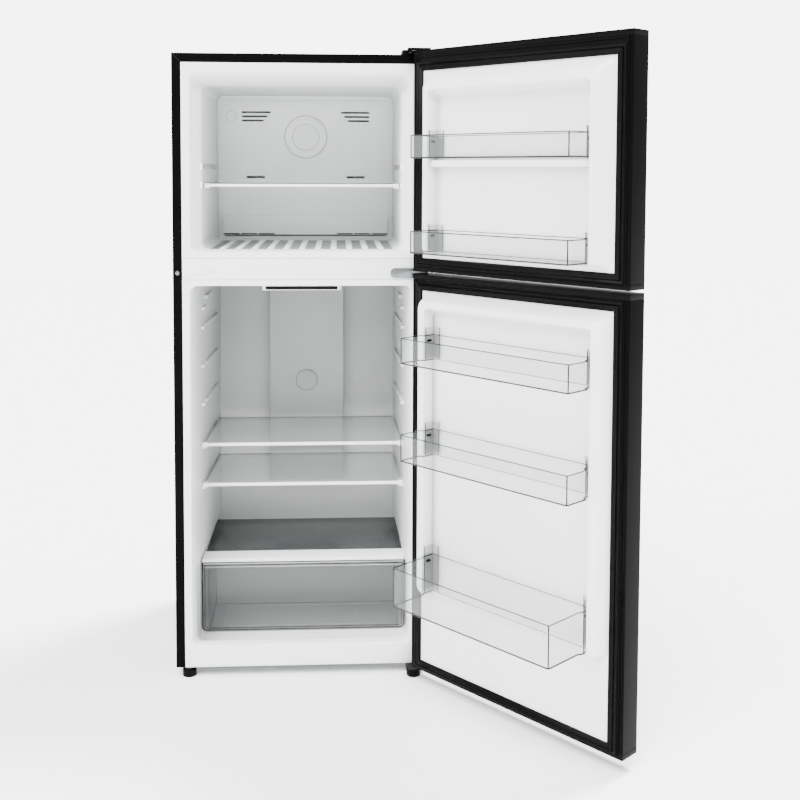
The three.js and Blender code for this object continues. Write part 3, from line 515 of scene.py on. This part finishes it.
# The outer cabinet: one sheet of near-black coil-coated steel, folded over the sides and top and turned in
# round the front, where the side and top flanges meet in a mitre.
coated_steel = material("coil_coated_steel", "#050505", "#040404", 0.38, 1.4, 0.02, metal=0.0, IOR=1.5,
                        Specular_IOR_Level=0.018)
dress("outer_cabinet", "cabinet_shell", "cabinet", "black_steel", coated_steel, 0.7, 3)
mitres = []
for side in (-1, 1):
    mitre = block("mitre", -0.35, 0.35, -0.12, 0.3, 0, 34)
    turn(mitre, 45 * side, "Y", (0, 0, 0))
    mitre.location = Vector((side * 325.5, 0, 1677.5)) * MM
    settle(mitre)
    mitres.append(soften(mitre, 0.08, 1))
seam_shadow = material("seam_shadow", "#050505", "#030303", 0.7, 2.0, 0.01)
mitre_lines = gather("flange_mitres", mitres)
fit(mitre_lines, "cabinet", "black_steel", seam_shadow)

# Hidden steel at the back and underneath: galvanised sheet with its spangle, screwed to the shell.
galvanised = material("galvanised_steel", "#B4B8BB", "#A3A7AB", 0.42, 18.0, 0.02, metal=1.0, spread=0.1)
dress("rear_panel", "back_panel", "cabinet", "zinc_plate", galvanised, 0.3)
dress("rear_louvre_cover", "machine_room_cover", "cabinet", "zinc_plate", galvanised, 0.3)
dress("base_pressing", "base_frame", "cabinet", "zinc_plate", galvanised, 0.3)
foam_cream = material("rigid_polyurethane_foam", "#E6D9A8", "#D6C890", 0.95, 2.2, 0.4)
coat(frame["nodes"]["cabinet_foam"], foam_cream)

# Back-panel screws: pan heads down both edges of the panel, across its top, and along the seam where the
# louvred cover meets it.
zinc = material("bright_zinc_plate", "#6F7375", "#626669", 0.3, 1.2, 0.02, metal=1.0)
heads = []
for x in (-336, -120, 120, 336):
    for z in (40, 175, 215, 700, 1200, 1680):
        if abs(x) > 200 or z in (175, 215, 1680):
            head = rod("screw_head", 4.5, (x, 608.6, z), (x, 610, z), 20)
            heads.append(soften(head, 0.5, 2))
rear_screws = gather("rear_screws", heads)
fit(rear_screws, "cabinet", "zinc_plate", zinc)

# The freezer's back: a moulded cover over the evaporator, with air slots, a stepped disc over the fan, a
# round blank, and a low intake box. Fine raised circles edge the discs, in a grey that paints the shade
# along their edges.
cover_plastic = material("moulded_polystyrene", "#E4E6E6", "#E0E2E2", 0.38, 2.0, 0.03, IOR=1.58)
dress("evaporator_cover_panel", "evaporator_cover", "cabinet", "white_liner", cover_plastic, 1.2, 3)
low, high = corners("fan_disc")
disc_z = (low.z + high.z) / 2
disc_radius = (high.z - low.z) / 2
disc = rod("fan_disc_moulding", disc_radius, (0, low.y, disc_z), (0, high.y, disc_z), 96)
step_face(disc, (2.0, 0.0), (1.0, 1.6), (4.0, 0.0), (1.0, -1.2),
          (16.0, 0.0), (1.0, 0.9), (2.0, 0.0), (1.0, -0.9))
soften(disc, 0.4, 2, 25)
fit(disc, "cabinet", "white_liner", cover_plastic, "fan_disc")
disc_shade_rings = gather("disc_shade_rings", [
    ring("disc_ring", disc_radius - 0.5, low.y - 0.2, disc_z, 0, 0.9),
    ring("disc_ring", 41, low.y + 0.1, disc_z, 0, 0.5),
    ring("disc_ring", 15.5, 439.6, 1553, -231, 0.5),
])
bpy.ops.object.shade_smooth()
fit(disc_shade_rings, "cabinet", "white_liner", seam_and_shade_grey)
cap_plug = rod("round_blank", 15.5, (-231, 439.4, 1553), (-231, 440.4, 1553), 48)
soften(cap_plug, 0.4, 2)
fit(cap_plug, "cabinet", "white_liner", cover_plastic)
# Dark plates paint the shade inside the intake's slots.
slot_shade = material("painted_slot_shade", "#151515", "#101010", 0.8, 2.0, 0.02)
intake = []
for side in (-1, 1):
    for i in range(3):
        x = side * (122 + i * 54)
        intake.append(soften(block("intake_slot", x - 25, x + 25, 427.6, 428.6, 1187, 1190.5), 0.3, 1))
intake_slots = gather("intake_slots", intake)
fit(intake_slots, "cabinet", "black_plastic", slot_shade)

edging = loft("edging", [(443.4, 273.4, 1167, 1616), (445.4, 273.4, 1167, 1616)], 22)
edging = carve(edging, block("opening", -262, 262, 440, 450, 1181, 1596))
sill = block("intake_floor", -254, 254, 428.2, 441, 1186.2, 1187)
surround = gather("evaporator_surround", [close_up(edging), soften(sill, 0.2, 1)])
fit(surround, "cabinet", "white_liner", cover_plastic)

# The parts that stay out of sight: the fan, its motor, the finned evaporator and the heater behind that
# cover, and the compressor, condenser and drain pan in the machine room. They keep the CAD's own shapes.
black_abs = material("grained_black_abs", "#1A1A1B", "#141415", 0.46, 0.9, 0.05, IOR=1.52)
bare_aluminium = material("bare_aluminium", "#C9CCCE", "#B7BABD", 0.36, 1.5, 0.02, metal=1.0)
for source in ("evaporator_fan", "fan_motor", "drain_pan"):
    coat(frame["nodes"][source], black_abs)
for source in ("evaporator_coil", "defrost_heater"):
    coat(frame["nodes"][source], bare_aluminium)
compressor_black = material("black_stoved_paint", "#17181A", "#101113", 0.35, 2.5, 0.05)
for source in ("compressor", "condenser_coil"):
    coat(frame["nodes"][source], compressor_black)

# The air duct up the middle of the fridge's back wall, with a round blank badge, all moulded polystyrene. It
# carries the cold down from the freezer and stands a little forward of the wall. Its white is painted a mid
# grey, the shade that falls at the back of the cavity, and a grey ring paints the shade round the badge's
# edge.
duct_shade_grey = material("polystyrene_duct_painted_shade", "#959797", "#909292", 0.38, 2.0, 0.03, IOR=1.58)
dress("air_duct_cover", "air_duct", "cabinet", "white_liner", duct_shade_grey, 3.0, 4)
low, high = corners("duct_badge")
badge_z = (low.z + high.z) / 2
badge = rod("round_badge", 34, (0, low.y, badge_z), (0, high.y, badge_z), 72)
step_face(badge, (1.2, 0.0), (0.4, 1.0), (1.4, 0.0), (0.4, -1.0))
soften(badge, 0.2, 2, 25)
fit(badge, "cabinet", "white_liner", duct_shade_grey, "duct_badge")

badge_shade_ring = ring("badge_shade_ring", 34, low.y - 0.1, badge_z, 0, 0.8)
bpy.ops.object.shade_smooth()
fit(badge_shade_ring, "cabinet", "white_liner", seam_and_shade_grey)

# The control strip under the fridge's ceiling: a white housing with the lamp in it, and a gloss black face
# that is left blank.
gloss_black = material("gloss_black_acrylic", "#0B0B0C", "#080808", 0.3, 4.0, 0.01, spread=0.02,
                       Specular_IOR_Level=0.06)
dress("control_box", "control_housing", "cabinet", "white_liner", liner_white, 1.2, 3)
dress("control_face", "control_lens", "cabinet", "black_plastic", gloss_black, 0.8, 3)

# Shelves: a moulded white front trim and side runners round a pane of clear tempered glass with ground edges,
# whose narrow faces are given a painted dark shade. The see-through finishes of the shelves, the crisper and
# the door bins are made here too, with a near-black one that paints the shade along the clear plastic's
# edges.
clear_glass = bpy.data.materials.new("clear_tempered_glass")
clear_plastic = bpy.data.materials.new("clear_moulded_polystyrene")
painted_edge_shade = bpy.data.materials.new("clear_plastic_painted_edge_shade")
glass_edge_shade = bpy.data.materials.new("glass_edge_painted_shade")
smoked_glass = bpy.data.materials.new("grey_tempered_glass")


def see_through(made, base, thin, steep, rough, ripple, gloss=0.5):
    """A clear sheet: seen square on it hides little, and towards grazing it turns solid and glossy; the solid
    tint there is painted, shade where the tint is dark and highlight where it is light.
    """
    made.use_nodes = True
    tree = made.node_tree
    tree.nodes.clear()
    place = node(tree, "ShaderNodeTexCoord").outputs["Object"]
    wave = node(tree, "ShaderNodeTexNoise", [("Vector", place)],
                Scale=1000 / ripple, Detail=2.0).outputs["Fac"]
    bump = node(tree, "ShaderNodeBump", [("Height", wave)], Strength=0.12, Distance=0.2 * MM)
    edge = node(tree, "ShaderNodeLayerWeight", Blend=0.35).outputs["Facing"]
    cover = node(tree, "ShaderNodeMapRange", [("Value", edge)])
    cover.inputs["To Min"].default_value = thin
    cover.inputs["To Max"].default_value = steep
    tint = node(tree, "ShaderNodeValToRGB", [("Fac", wave)])
    tint.color_ramp.elements[0].color = colour(base)
    tint.color_ramp.elements[1].color = [min(1, c * 1.08) for c in colour(base)[:3]] + [1]
    surface = node(tree, "ShaderNodeBsdfPrincipled", [
        ("Base Color", tint.outputs["Color"]),
        ("Alpha", cover.outputs["Result"]),
        ("Normal", bump.outputs["Normal"]),
    ], Roughness=rough, IOR=1.52, Specular_IOR_Level=gloss)
    node(tree, "ShaderNodeOutputMaterial", [("Surface", surface.outputs["BSDF"])])
    return made


see_through(clear_glass, "#A2A6A7", 0.16, 0.3, 0.1, 160)
see_through(glass_edge_shade, "#505658", 0.8, 0.95, 0.4, 12)
see_through(smoked_glass, "#414344", 0.78, 0.9, 0.2, 160)
see_through(clear_plastic, "#A3A7A8", 0.03, 0.2, 0.12, 45)
see_through(painted_edge_shade, "#0E0F10", 0.85, 1.0, 0.4, 12, 0.03)
bracket_plastic = bpy.data.materials.new("ribbed_clear_polystyrene")
see_through(bracket_plastic, "#8A8E90", 0.14, 0.34, 0.2, 6)


def edge_finish(piece, finish, width):
    """Gives the faces narrower than width, in millimetres, the edge finish, a painted shade, as a second
    material.
    """
    piece.data.materials.append(finish)
    for face in piece.data.polygons:
        sides = [piece.data.vertices[v].co for v in face.vertices]
        spans = sorted(max(c[i] for c in sides) - min(c[i] for c in sides) for i in range(3))
        if face.area < width * MM * max(spans[2], 1e-6) * 1.2:
            face.material_index = 1
    return piece


def outline(name, radius, path, sides=8):
    """A fine round bead through places in millimetres, with the corners left as they meet."""
    return gather(name, [rod(name, radius, a, b, sides) for a, b in zip(path, path[1:])])


def arc(centre, radius, first, last, steps=5):
    """Places on a level arc: a centre (x, y, z) and two angles in degrees."""
    angles = [radians(first + (last - first) * i / steps) for i in range(steps + 1)]
    return [(centre[0] + radius * cos(a), centre[1] + radius * sin(a), centre[2]) for a in angles]


for shelf in ("freezer_shelf", "upper_shelf", "lower_shelf"):
    low, high = corners(f"{shelf}_frame")
    frame_copy = soften(copy_of(f"{shelf}_surround", f"{shelf}_frame"), 1.0, 3)
    fit(frame_copy, shelf, "white_liner", clear_plastic, f"{shelf}_frame")
    bar_half = high.x - 4
    trim = soften(block("trim", -bar_half, bar_half, low.y - 1.5, low.y + 9, low.z, high.z), 3.4, 5)
    clips = []
    for side in (-1, 1):
        x0, x1 = sorted((side * (high.x - 16), side * high.x))
        clips.append(soften(block("clip", x0, x1, low.y - 0.5, low.y + 14, low.z - 4, high.z + 1), 2.4, 4))
    trim = gather(f"{shelf}_trim", [trim] + clips)
    fit(trim, shelf, "white_liner", liner_white)
    pane = soften(copy_of(f"{shelf}_pane", f"{shelf}_glass"), 0.6, 2)
    fit(pane, shelf, "clear_glass", clear_glass, f"{shelf}_glass")
    edge_finish(pane, glass_edge_shade, 5)
    if shelf == "freezer_shelf":
        continue
    posts = []
    for side in (-1, 1):
        x0, x1 = sorted((side * (wall_half(high.y) - 34), side * (wall_half(high.y) - 5)))
        post = block("corner_block", x0, x1, high.y - 26, high.y - 1, high.z - 0.5, high.z + 8)
        posts.append(soften(post, 3, 3))
    fit(gather(f"{shelf}_corner_blocks", posts), shelf, "clear_plastic", clear_plastic)

# The crisper's cover: grey tempered glass in a moulded frame, with a broad white trim that slopes up from its
# front edge.
low, high = corners("crisper_cover_frame")
cover_frame = soften(copy_of("crisper_cover_surround", "crisper_cover_frame"), 0.8, 2)
fit(cover_frame, "cabinet", "white_liner", cover_plastic, "crisper_cover_frame")
cover_pane = soften(copy_of("crisper_cover_pane", "crisper_cover_glass"), 0.6, 2)
fit(cover_pane, "cabinet", "grey_glass", smoked_glass, "crisper_cover_glass")
bar = block("bar", -high.x + 1, high.x - 1, low.y - 2, low.y + 44, low.z, high.z + 8)
bpy.ops.object.mode_set(mode="EDIT")
bpy.ops.mesh.select_all(action="DESELECT")
bpy.ops.object.mode_set(mode="OBJECT")
for vertex in bar.data.vertices:
    vertex.select = vertex.co.y < spot(0, low.y, 0).y and vertex.co.z > spot(0, 0, high.z).z
bpy.ops.object.mode_set(mode="EDIT")
bpy.ops.transform.translate(value=(0, 0, -8 * MM))
bpy.ops.object.mode_set(mode="OBJECT")
soften(bar, 1.6, 4)
fit(bar, "cabinet", "white_liner", liner_white).name = "crisper_cover_trim"

# The crisper drawer: clear polystyrene, a tray with an embossed floor behind a front with a rolled lip. Dark
# beads paint the shade at its edges and folds, where light runs out, and bright ones paint highlights on the
# lip and on the embossed ribs of the floor.
drawer_plastic = see_through(bpy.data.materials.new("clear_grey_polystyrene"), "#77797A", 0.2, 0.42, 0.1, 60)
tray = soften(copy_of("crisper_tray", "crisper_drawer"), 1.2, 3)
fit(tray, "crisper", "clear_plastic", drawer_plastic, "crisper_drawer")
low, high = corners("crisper_drawer")
rolled = [
    soften(block("lip", -high.x + 3, high.x - 3, low.y - 0.2, low.y + 9, high.z - 6, high.z), 2.2, 4),
    soften(block("lip", -high.x + 8, high.x - 8, low.y + 0.4, low.y + 4, high.z - 15, high.z - 13), 0.9, 3),
]
painted_highlight = see_through(bpy.data.materials.new("painted_highlight_rolled_edge"), "#C9CCCC", 0.55, 0.8, 0.2, 12)
fit(gather("crisper_lip", rolled), "crisper", "clear_plastic", painted_highlight)


def upright_frame(inset, radius, y):
    """A path round the drawer's front, inset from its edge, with round lower corners."""
    x, z0, z1 = high.x - inset, low.z + inset, high.z - inset
    turn_up = [(x - radius + radius * cos(a), y, z0 + radius - radius * sin(a))
               for a in (radians(90 - 18 * i) for i in range(6))]
    left = [(-p[0], p[1], p[2]) for p in turn_up]
    return [(-x, y, z1)] + left[::-1] + turn_up + [(x, y, z1), (-x, y, z1)]


FLOOR = low.z + 2.5
deep = high.y - 2.5
inner = 277.5
dark_beads = [
    outline("bead", 1.4, upright_frame(1.5, 13, low.y + 1.2)),
    outline("bead", 0.8, upright_frame(8, 10, low.y + 1.2)),
    outline("bead", 0.9, [
        (-inner, low.y + 4, FLOOR), (-inner, deep, FLOOR), (inner, deep, FLOOR), (inner, low.y + 4, FLOOR)]),
    outline("bead", 0.9, [
        (-inner, deep, FLOOR), (-inner, deep, high.z - 8), (inner, deep, high.z - 8), (inner, deep, FLOOR)]),
]
fit(gather("crisper_outline", dark_beads), "crisper", "clear_plastic", painted_edge_shade)
EMBOSS = ((-238, 186, FLOOR + 1), (238, 186, FLOOR + 1), (238, 336, FLOOR + 1), (-238, 336, FLOOR + 1))
light_beads = [outline("bead", 1.1, EMBOSS + EMBOSS[:1])]
for x in (-158, 158):
    light_beads.append(rod("bead", 1.1, (x, 186, FLOOR + 1), (x, 336, FLOOR + 1), 8))
fit(gather("crisper_floor_ribs", light_beads), "crisper", "clear_plastic", painted_highlight)

# The doors: a steel skin wrapped round foam, with moulded caps at top and bottom. They are made shut, in the
# cabinet's own place, and then swung open about their hinge pins.
door_joints = {j["child"]: j for j in frame["record"]["behaviour"]["joints"] if j["child"].endswith("_door")}
axis_place = (Vector(door_joints["fridge_door"]["pos_m"]) - CENTRE) / MM
OPEN = -door_joints["fridge_door"]["range_deg"][0]
ACROSS = (axis_place.x, axis_place.y, 0)


def swing(piece):
    return turn(piece, OPEN, "Z", ACROSS)


def gasket_bar(inner, outer, low_end, high_end, upright):
    """A bar of the gasket: its ridges side by side from the inner edge out, before its ends are mitred."""
    way = 1 if outer > inner else -1
    ridges = []
    for offset, width, low_y, high_y in GASKET_RIDGES:
        a, b = sorted((inner + offset * way, inner + (offset + width) * way))
        if upright:
            ridge = block("gasket_bar", a, b, low_y, high_y, low_end, high_end)
        else:
            ridge = block("gasket_bar", low_end, high_end, low_y, high_y, a, b)
        ridges.append(soften(ridge, 2, 4))
    return gather("gasket_bar", ridges)


def slice_off(piece, place, direction):
    """Cuts away what lies beyond a plane, and closes the cut."""
    only(piece)
    bpy.ops.object.mode_set(mode="EDIT")
    bpy.ops.mesh.select_all(action="SELECT")
    bpy.ops.mesh.bisect(plane_co=spot(*place), plane_no=direction, use_fill=True, clear_outer=True)
    bpy.ops.object.mode_set(mode="OBJECT")


gasket_vinyl = material("soft_black_vinyl", "#050505", "#040404", 0.45, 1.6, 0.04, IOR=1.5,
                        Specular_IOR_Level=0.05)
door_plastic = material("fine_grained_black_abs", "#050505", "#040404", 0.42, 0.8, 0.05, IOR=1.52,
                        Specular_IOR_Level=0.04)
# Each ridge: its offset from the gasket's inner edge, its width, and its low and high y.
GASKET_RIDGES = ((0, 24, -7.7, -4.6), (0.6, 13.5, -6, -0.5), (15.5, 8, -6, -1.8))
GASKET_INNER, GASKET_OUTER = 310, 334
GASKET_WIDTH = GASKET_OUTER - GASKET_INNER
cap_top = corners("freezer_door_top_cap")[1].z
for door, z0, z1 in (("freezer_door", 1152, 1652), ("fridge_door", 42, 1064)):
    dress(f"{door}_wrap", f"{door}_skin", door, "black_steel", coated_steel, 0.6, 3)
    upper_cap = copy_of(f"{door}_upper_cap", f"{door}_top_cap")
    if door == "freezer_door":  # a shallow hand notch in the far end of its top
        carve(upper_cap, swing(block("notch", -322, -246, -80, -20, cap_top - 4, cap_top + 10)))
    fit(soften(upper_cap, 1.2, 3), door, "black_plastic", door_plastic, f"{door}_top_cap")
    dress(f"{door}_lower_cap", f"{door}_bottom_cap", door, "black_plastic", door_plastic, 1.2, 3)
    skin_low, skin_high = corners(f"{door}_skin")
    filling = soften(block("filling", -347, 347, -69.5, -12, skin_low.z + 1, skin_high.z - 1), 3, 2)
    fit(swing(filling), door, "foam", foam_cream, f"{door}_foam").name = f"{door}_filling"
    rim = block("rim", -333.6, 333.6, -9.6, -8.2, skin_low.z + 0.4, skin_high.z - 0.4)
    ledges = [soften(rim, 0.3, 2)]
    for side in (-1, 1):
        x0, x1 = sorted((side * 335.2, side * 338.2))
        ledges.append(soften(block("ridge", x0, x1, -9, -5.2, skin_low.z + 1, skin_high.z - 1), 1.2, 3))
    for z in (skin_low.z + 3, skin_high.z - 6):
        ledges.append(soften(block("ridge", -333, 333, -9, -5.6, z, z + 3), 1.2, 3))
    fit(swing(gather(f"{door}_inner_rim", ledges)), door, "black_plastic", door_plastic)
    bars = []
    for side in (-1, 1):
        bar = gasket_bar(side * GASKET_INNER, side * GASKET_OUTER, z0 - GASKET_WIDTH, z1 + GASKET_WIDTH, True)
        slice_off(bar, (side * GASKET_INNER, 0, z1), (-side, 0, 1))
        slice_off(bar, (side * GASKET_INNER, 0, z0), (-side, 0, -1))
        bars.append(bar)
    for inner, way in ((z0, -1), (z1, 1)):
        bar = gasket_bar(inner, inner + way * GASKET_WIDTH, -GASKET_OUTER, GASKET_OUTER, False)
        slice_off(bar, (GASKET_INNER, 0, inner), (1, 0, -way))
        slice_off(bar, (-GASKET_INNER, 0, inner), (-1, 0, -way))
        bars.append(bar)
    seal = swing(gather(f"{door}_seal", bars))
    fit(seal, door, "gasket_rubber", gasket_vinyl, f"{door}_gasket")

# The door liners: white polystyrene, with a raised frame, the dyke, that stands round the bins and goes into
# the cabinet's mouth when the door shuts.
PANEL_HALF = 308.5
fridge_panel = block("fridge_panel", -PANEL_HALF, PANEL_HALF, -9.4, -4.6, 42, 1063.5)
dyke = loft("dyke", [
    (-7, 307, 238, 1056), (-2, 305.5, 241, 1054), (8, 301, 244, 1050), (26, 294, 247, 1043),
    (31, 291, 250, 1039), (32, 288.5, 253, 1036),
], 20, 7)
well = loft("well", [
    (40, 273, -60, 1026), (33, 272, -60, 1024), (30, 269.8, -60, 1021), (22, 269.3, -60, 1019),
    (0, 268.6, -60, 1011), (-7.6, 266, -60, 1006),
], 10, 5)
carve(dyke, well)
fridge_liner_piece = carve(fridge_panel, dyke, operation="UNION")
border = loft("border", [
    (-2, 286, 66, 1008), (-4.4, 286, 66, 1008), (-5.4, 283, 69, 1005), (-6.4, 281.5, 70.5, 1004),
], 14, 5)
recess = carve(border, block("limit", -268.8, 268.8, -20, 20, 60, 1001), operation="INTERSECT")
carve(fridge_liner_piece, recess)
low_well = loft("low_well", [
    (-2, 284, 66, 236), (-4.4, 284, 66, 236), (-5.4, 281, 69, 233), (-6.4, 279.5, 70.5, 231.5),
], 14, 5)
carve(fridge_liner_piece, low_well)
soften(fridge_liner_piece, 1.2, 3)
swing(fridge_liner_piece).name = "fridge_door_panel"
fit(fridge_liner_piece, "fridge_door", "white_liner", liner_white, "fridge_door_liner")

freezer_panel = block("freezer_panel", -PANEL_HALF, PANEL_HALF, -9.4, -4.6, 1152.5, 1651.5)
dyke = loft("dyke", [
    (-7, 307, 1155, 1650), (-2, 301.5, 1163, 1646), (4, 297.5, 1165.5, 1641), (18, 286, 1168, 1629),
    (28, 279.5, 1169, 1621), (31, 277, 1170, 1618), (32, 274, 1172, 1615),
], 20, 7)
well = loft("well", [
    (40, 262, 1162, 1602), (33, 261, 1164, 1600), (30, 259.6, 1165, 1597), (22, 259.3, 1166, 1595),
    (0, 258.6, 1168, 1584), (-6.4, 256, 1169, 1579),
], 8, 5)
shelf_step = block("shelf_step", -268, 268, -8, 22, 1396, 1414)
soften(shelf_step, 6, 5)
carve(dyke, well)
freezer_liner_piece = carve(freezer_panel, dyke, operation="UNION")
floor_recess = block("floor_recess", -255, 255, -6.2, 0, 1172, 1568)
soften(floor_recess, 1.5, 2)
carve(freezer_liner_piece, floor_recess)
carve(freezer_liner_piece, shelf_step, operation="UNION")
soften(freezer_liner_piece, 1.2, 3)
swing(freezer_liner_piece).name = "freezer_door_panel"
fit(freezer_liner_piece, "freezer_door", "white_liner", liner_white, "freezer_door_liner")

# Door bins: clear injection-moulded polystyrene, hooked by end brackets that stand above the rim. Each row
# is a bin's door, bottom, top, half width at the neck, reach from the panel, and brackets' rise over the rim.
bins = {
    "freezer_upper_bin": ("freezer_door", 1418, 1478, 256.5, 101, 14),
    "freezer_lower_bin": ("freezer_door", 1172, 1231, 256.5, 101, 14),
    "fridge_upper_bin": ("fridge_door", 882, 951, 266, 116, 20),
    "fridge_middle_bin": ("fridge_door", 624, 696, 266, 116, 20),
    "fridge_bottle_bin": ("fridge_door", 250, 354, 266, 156, 26),
}
for name, (door, z0, z1, neck, front, rise) in bins.items():
    tray = soften(copy_of(f"{name}_tray", name), 0.7, 2)
    fit(tray, door, "clear_plastic", clear_plastic, name)
    half = {"freezer_door": 256, "fridge_door": 274}[door] if front < 150 else 258
    back, corner = 0.5, 7
    # Dark beads along each bin's bottom and top rims and its front corners paint the shade at its edges.
    edges = []
    for z, bead in ((z0 + 1.9, 1.9), (z1 - 1.3, 1.3)):
        right = arc((half - corner, front - corner, z), corner - bead, 0, 90)
        left = [(-p[0], p[1], p[2]) for p in right][::-1]
        path = [(neck - 5, back, z), (neck - 5, 36, z), (half - bead, 42, z)] + right
        path += left + [(-half + bead, 42, z), (-neck + 5, 36, z), (-neck + 5, back, z)]
        edges.append(outline("bead", bead, path))
        edges.append(outline("bead", 0.9, [(-neck + 5, back, z), (neck - 5, back, z)]))
    for x, y in ((half - 3.3, front - 3.3), (-half + 3.3, front - 3.3)):
        edges.append(rod("bead", 1.7, (x, y, z0 + 2), (x, y, z1 - 1), 8))
    fit(swing(gather(f"{name}_edges", edges)), door, "clear_plastic", painted_edge_shade)
    extras = []
    for side in (-1, 1):
        x0, x1 = sorted((side * (neck - 4.6), side * (neck - 2.6)))
        extras.append(soften(block("bracket", x0, x1, -1, 30, z0 + 4, z1 + rise), 0.7, 2))
        x0, x1 = sorted((side * (neck - 26), side * (neck - 3)))
        extras.append(soften(block("bracket_back", x0, x1, -0.6, 1.4, z0 + 4, z1 + rise), 0.7, 2))
    fit(swing(gather(f"{name}_brackets", extras)), door, "clear_plastic", bracket_plastic)
    # The dark hooks and beads on the brackets paint the shade at their edges.
    details = []
    for side in (-1, 1):
        x0, x1 = sorted((side * (neck - 9), side * (neck - 4)))
        details.append(soften(block("hook", x0, x1, 12, 26, z1 - 18, z1 - 12), 1.2, 2))
        x = side * (neck - 3.6)
        details.append(rod("bead", 1.2, (x, 30, z0 + 4), (x, 30, z1 + rise), 8))
        x = side * (neck - 26)
        details.append(rod("bead", 0.9, (x, 0.4, z0 + 4), (x, 0.4, z1 + rise), 8))
    fit(swing(gather(f"{name}_bracket_edges", details)), door, "clear_plastic", painted_edge_shade)

# The door closer's cam: a round of black acetal under the fridge door, which rides on the bottom hinge and
# pulls the door shut over its last few degrees.
acetal = material("black_acetal", "#131313", "#0F0F0F", 0.3, 2.0, 0.02)
dress("closer_cam", "door_closer", "fridge_door", "black_plastic", acetal, 1.0, 3)

# Hinges: zinc-plated pressed steel with riveted pins. The top one hides under a clipped black cover, and the
# bottom one, down by the foot, is plated black.
black_zinc = material("black_zinc_plate", "#0E0E0F", "#0B0B0C", 0.4, 1.2, 0.02, metal=1.0)
dress("upper_hinge", "top_hinge", "cabinet", "zinc_plate", zinc, 0.4)
dress("upper_hinge_cover", "top_hinge_cover", "cabinet", "black_plastic", door_plastic, 2.4, 4)
dress("centre_hinge", "middle_hinge", "cabinet", "zinc_plate", zinc, 0.7, 3)
dress("lower_hinge", "bottom_hinge", "cabinet", "zinc_plate", black_zinc, 0.6, 3)
screws = []
for x in (258, 304):
    head = soften(rod("hinge_screw", 5.6, (x, -3.2, 1104), (x, -6.0, 1104), 32), 1.6, 4)
    cross = [
        block("slot", x - 3, x + 3, -7, -5.0, 1103.3, 1104.7),
        block("slot", x - 0.7, x + 0.7, -7, -5.0, 1101, 1107),
    ]
    screws.append(carve(head, *cross))
hinge_screws = gather("hinge_screws", screws)
fit(hinge_screws, "cabinet", "zinc_plate", zinc)
flange_head = soften(copy_of("flange_screw_head", "flange_screw"), 1.4, 4)
fit(flange_head, "cabinet", "zinc_plate", zinc, "flange_screw")

# Levelling feet and rear rollers, moulded in black plastic. The feet turn on their threads. Last comes the
# lamp's clear diffuser, under the control strip.
for hand in ("left", "right"):
    dress(f"{hand}_foot", f"front_foot_{hand}", f"{hand}_foot", "black_plastic", door_plastic, 1.6, 4)
    dress(f"{hand}_roller", f"rear_roller_{hand}", f"{hand}_roller", "black_plastic", door_plastic, 1.0, 3)
dress("lamp_diffuser", "lamp_cover", "cabinet", "clear_plastic", clear_plastic, 0.5)

# The room: a plain pale floor under soft even light. The white surroundings light the fridge from all round,
# and are set brighter where they are seen past it, as a lit backdrop is.
floor_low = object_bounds()[0][2]
clear()
bpy.ops.mesh.primitive_plane_add(size=24, location=(CENTRE.x, CENTRE.y, floor_low))
floor = bpy.context.object
floor.name = "floor"
floor_paint = material("matt_white_floor", "#FFFFFF", "#FDFDFD", 0.9, 40.0, 0.01)
coat(floor, floor_paint)

world = bpy.data.worlds.new("studio")
bpy.context.scene.world = world
world.use_nodes = True
background = world.node_tree.nodes["Background"]
background.inputs["Color"].default_value = (1, 1, 1, 1)
ROOM, BACKDROP = 2.1, 6.5  # light on the fridge, and the lit backdrop that is seen past it
seen = node(world.node_tree, "ShaderNodeLightPath").outputs["Is Camera Ray"]
level = node(world.node_tree, "ShaderNodeMapRange", [("Value", seen)])
level.inputs["To Min"].default_value = ROOM
level.inputs["To Max"].default_value = BACKDROP
world.node_tree.links.new(level.outputs["Result"], background.inputs["Strength"])

# Two broad soft lights: one high up in front and a little to the left, one overhead and a little behind.
for name, energy, spread, heading in (
        ("front_light", 8, 40, (0.26, 0.5, -0.9)), ("overhead_light", 8, 16, (-0.42, -0.3, -1))):
    light = bpy.data.lights.new(name, "SUN")
    light.energy = energy
    light.angle = radians(spread)
    lamp = bpy.data.objects.new(name, light)
    bpy.context.scene.collection.objects.link(lamp)
    lamp.rotation_euler = Vector(heading).to_track_quat("-Z", "Y").to_euler()

# The camera stands opposite the cabinet's right half, higher than its middle. It looks down a little, and the
# shifted lens does the rest, so that the uprights stay upright.
camera_data = bpy.data.cameras.new("camera")
camera = bpy.data.objects.new("camera", camera_data)
bpy.context.scene.collection.objects.link(camera)
camera_data.lens = 50.214
camera_data.sensor_width = 36
camera_data.shift_y = -0.2
YAW, PITCH, ROLL = 0.05591, 0.06214, 0.00361
aimed = Matrix.Rotation(-YAW, 4, "Z") @ Matrix.Rotation(math.pi / 2 - PITCH, 4, "X")
facing = aimed @ Matrix.Rotation(ROLL, 4, "Z")
camera.matrix_world = Matrix.Translation(spot(99.26, -3063.55, 1386.51)) @ facing
bpy.context.scene.camera = camera

clear()
